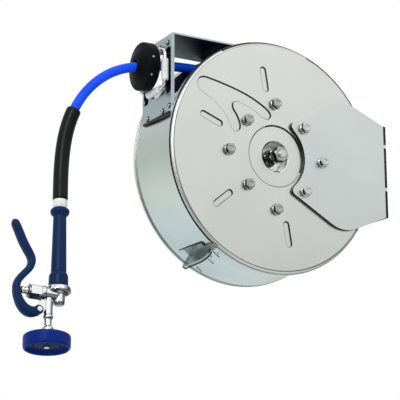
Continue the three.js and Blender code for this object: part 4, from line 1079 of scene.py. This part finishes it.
def make_lever():
    """A rounded bar that follows the lever's line, forked over the valve's lug at its lower end."""
    line = spline(LEVER_LINE, 6)
    flat = [Vector((p.x, 0, p.y)) for p in line]
    total = running_lengths(flat)
    sides = 36
    rings = []
    for i, (point, place) in enumerate(zip(flat, line)):
        ahead = (flat[min(i + 1, len(flat) - 1)] - flat[max(i - 1, 0)]).normalized()
        normal = Vector((-ahead.z, 0, ahead.x))
        start = min(1.0, total[i] / 9)
        end = min(1.0, (total[-1] - total[i]) / 5)
        soft = max(0.1, math.sqrt(max(0.0, 1 - (1 - start) ** 2)))
        thick = place.z * soft
        wide = LEVER_HALF_WIDTH * soft * (1 - 0.06 * (1 - end))
        ring = []
        for k in range(sides):
            c, d = polar(1, 360 * k / sides)
            across = math.copysign(abs(c) ** LEVER_SQUARENESS, c) * thick
            deep = math.copysign(abs(d) ** LEVER_SQUARENESS, d) * wide
            ring.append(point + normal * across + Vector((0, deep, 0)))
        rings.append(ring)
    pin = TOOL @ shift(PIVOT[0], 0, PIVOT[1])

    def bar(bm):
        loft(bm, rings, TOOL)

    eye = lathed([(0, -7.8), (7.2, -7.8), (7.2, 7.8), (0, 7.8)], 1.4, 3, pin @ ALONG_Y, 48)
    fork = slab([(-10, -14), (12, -14), (12, 14), (-10, 14)], -3.8, 3.8, pin @ UPRIGHT)
    hole = lathed([(0, -20), (PIN_HOLE_R, -20), (PIN_HOLE_R, 20), (0, 20)], 0, 0, pin @ ALONG_Y, 24)
    united("squeeze_lever_coated", [bar, eye], NAVY, "squeeze_lever", 60, "lever", [fork, hole])


def make_head():
    top, bottom = -219.0, -244.6
    recess = bottom + 7
    place = TOOL @ shift(HEAD_X, 0, 0)
    turned("spray_head_ring", rounded([
        (0, top), (20, top - 1.5), (33.2, top - 4), (35.6, top - 5.6), (36, top - 8), (36, bottom + 4.5),
        (35.2, bottom + 1.4), (33.6, bottom), (32, bottom + 0.6), (31, bottom + 4), (30.5, recess),
        (0, recess)], 1.4, 4),
        place, HEAD_BLUE, 160, node="spray_head")
    face = rounded([
        (0, recess - 0.3), (27, recess - 0.3), (26.2, recess - 1.6), (9, recess - 2.4), (6.2, recess - 3),
        (5.4, recess - 4), (0, recess - 4)], 0.7, 3)
    turned("spray_face_disc", face, place, FACE_BLUE, 128, node="spray_face")
    # Painted shade: a near-black disc at each spray hole.
    bm = bmesh.new()
    plug = [(0, recess - 2.6), (HOLE_R, recess - 2.6), (HOLE_R, recess - 1.2), (0, recess - 1.2)]
    for radius, count in HOLE_RINGS:
        for k in range(count):
            turn(bm, plug, place @ shift(*polar(radius, 360 * k / count), 0), 12)
    show("spray_hole_shades", bm, HOLE_SHADE_BLUE)
    screw = [(0, recess - 5.2), (3.2, recess - 5.2), (4, recess - 4.4), (4, recess - 3.6), (0, recess - 3.6)]
    turned("spray_centre_screw", rounded(screw, 0.4, 3), place, ZINC, 32)


make_grip()
make_valve()
make_lever()
make_head()

# ---------------------------------------------------------------- inside and behind the case

COIL_R = 116.3  # the innermost turn
COIL_Y = 30.4  # the foremost turn
COIL_LAYER = 15.85
COIL_PITCH = 15.9
COIL_HOSE_R = 7.9


def make_coil():
    """The wound hose: three layers of six turns."""
    bm = bmesh.new()
    section = [polar(COIL_HOSE_R, 22.5 * k) for k in range(16)]
    for layer in range(3):
        for index in range(6):
            radius = COIL_R + COIL_LAYER * layer
            y = COIL_Y + COIL_PITCH * index
            turn(bm, [(radius + across, y + up) for across, up in section], AXLE, 120)
    show("hose_coil_turns", bm, HOSE_BLUE, "hose_coil", 60, "drum")


def make_inlet():
    base = CASE_DEPTH + GAP
    down = REEL @ shift(0, 146, 0)
    shell = lathed([
        (0, 160), (17, 160), (20, 157), (20, base + 4), (32, base + 4), (32, base), (13, base), (13, 140),
        (0, 140)], 1.2, 4, AXLE)
    neck = lathed([(0, -8), (11, -8), (11, -42), (0, -42)], 1.0, 3, down, 64)
    hexed = slab(hexagon(24), -52, -38, down, 0.9, 3)
    united("swivel_inlet_cast", [shell, neck, hexed], BRASS, "swivel_inlet")


make_coil()
make_inlet()
for node, material in (
        ("drum_core", DULL_STEEL), ("drum_flange_front", DULL_STEEL), ("drum_flange_rear", DULL_STEEL),
        ("spring_canister", DARK_STEEL), ("front_bush", BRASS), ("swivel_stem", BRASS),
        ("power_spring", SPRING_STEEL), ("ratchet_wheel", DARK_STEEL), ("pawl_pin", ZINC),
        ("pawl", DARK_STEEL), ("slot_backing_front", RUBBER), ("slot_backing_back", RUBBER)):
    carried = frame["nodes"][node]
    carried.data.materials.clear()
    carried.data.materials.append(material)

# ---------------------------------------------------------------- floor, light and backdrop


def make_floor():
    bm = bmesh.new()
    reach = 6.0
    level = -0.75
    corners = ((-1, -1), (1, -1), (1, 1), (-1, 1))
    bm.faces.new([bm.verts.new((x * reach, y * reach, level)) for x, y in corners])
    m = Surface("floor", Roughness=0.9)
    m.colour(m.ramp(m.noise(3, 2), [(0.3, (0.84, 0.84, 0.83)), (0.7, (0.88, 0.88, 0.87))]))
    floor = show("floor", bm, m.material, body=None)
    floor.visible_glossy = False


def area_light(name, place, aim, size, energy):
    data = bpy.data.lights.new(name, "AREA")
    data.shape = "RECTANGLE"
    data.size, data.size_y = size
    data.energy = energy
    lamp = bpy.data.objects.new(name, data)
    lamp.matrix_world = Matrix.Translation(place) @ (
        (Vector(aim) - Vector(place)).to_track_quat("-Z", "Y").to_matrix().to_4x4())
    bpy.context.scene.collection.objects.link(lamp)


def make_world():
    """A pale studio: white to the camera, and a soft gradient in what the metal reflects."""
    world = bpy.data.worlds.new("studio")
    bpy.context.scene.world = world
    w = Nodes(world)
    w.tree.nodes.clear()

    def blend(a, b, how="MULTIPLY", factor=None):
        node = w.add("ShaderNodeMix", data_type="RGBA", blend_type=how)
        node.inputs["Factor"].default_value = 1.0
        if factor:
            w.link(factor, node.inputs["Factor"])
        w.link(a, node.inputs["A"])
        w.link(b, node.inputs["B"])
        return node.outputs["Result"]

    split = w.add("ShaderNodeSeparateXYZ")
    w.link(w.add("ShaderNodeTexCoord").outputs["Generated"], split.inputs["Vector"])
    x, y, z = (w.map_range(split.outputs[axis], From_Min=-1) for axis in "XYZ")
    near = blend(
        w.ramp(z, [(0.0, 0.75), (0.24, 0.62), (0.33, 0.18), (0.40, 0.05), (0.47, 0.10), (0.53, 0.50),
                   (0.585, 0.70), (0.67, 0.87), (0.8, 0.95), (1.0, 1.0)]),
        w.ramp(x, [(0.0, 0.95), (0.12, 0.95), (0.23, (0.42, 0.43, 0.45)), (0.34, (0.45, 0.46, 0.47)),
                   (0.42, (0.95, 0.96, 0.96)), (0.5, (0.98, 0.99, 0.985)), (0.72, (1.0, 1.0, 0.975)),
                   (1.0, (0.90, 0.90, 0.87))]))
    far = blend(
        w.ramp(z, [(0.0, 0.30), (0.12, 0.50), (0.20, (0.66, 0.74, 0.77)), (0.27, (0.72, 0.80, 0.83)),
                   (0.42, (0.77, 0.78, 0.74)), (0.58, (0.57, 0.60, 0.58)), (0.7, 0.60), (0.9, 0.85),
                   (1.0, 0.95)]),
        w.ramp(x, [(0.0, (0.95, 1.0, 0.98)), (0.7, (0.98, 1.0, 1.0)), (1.0, (0.60, 0.62, 0.62))]))
    seen = w.add("ShaderNodeBackground")
    seen.inputs["Color"].default_value = (1, 1, 1, 1)
    lit = w.add("ShaderNodeBackground")
    lit.inputs["Strength"].default_value = 1.1
    w.link(blend(near, far, "MIX", w.ramp(y, [(0.42, 0.0), (0.58, 1.0)])), lit.inputs["Color"])
    either = w.add("ShaderNodeMixShader")
    w.link(w.add("ShaderNodeLightPath").outputs["Is Camera Ray"], either.inputs["Fac"])
    w.link(lit.outputs["Background"], either.inputs[1])
    w.link(seen.outputs["Background"], either.inputs[2])
    w.link(either.outputs["Shader"], w.add("ShaderNodeOutputWorld").inputs["Surface"])


make_floor()
make_world()
area_light("strip", (-2.3, -1.55, 0.15), (-0.6, 0, -0.1), (0.22, 1.9), 5)
area_light("key", (-1.9, -1.9, 1.4), (-0.3, 0, -0.05), (1.2, 1.2), 20)
bpy.context.scene.view_settings.view_transform = "Standard"
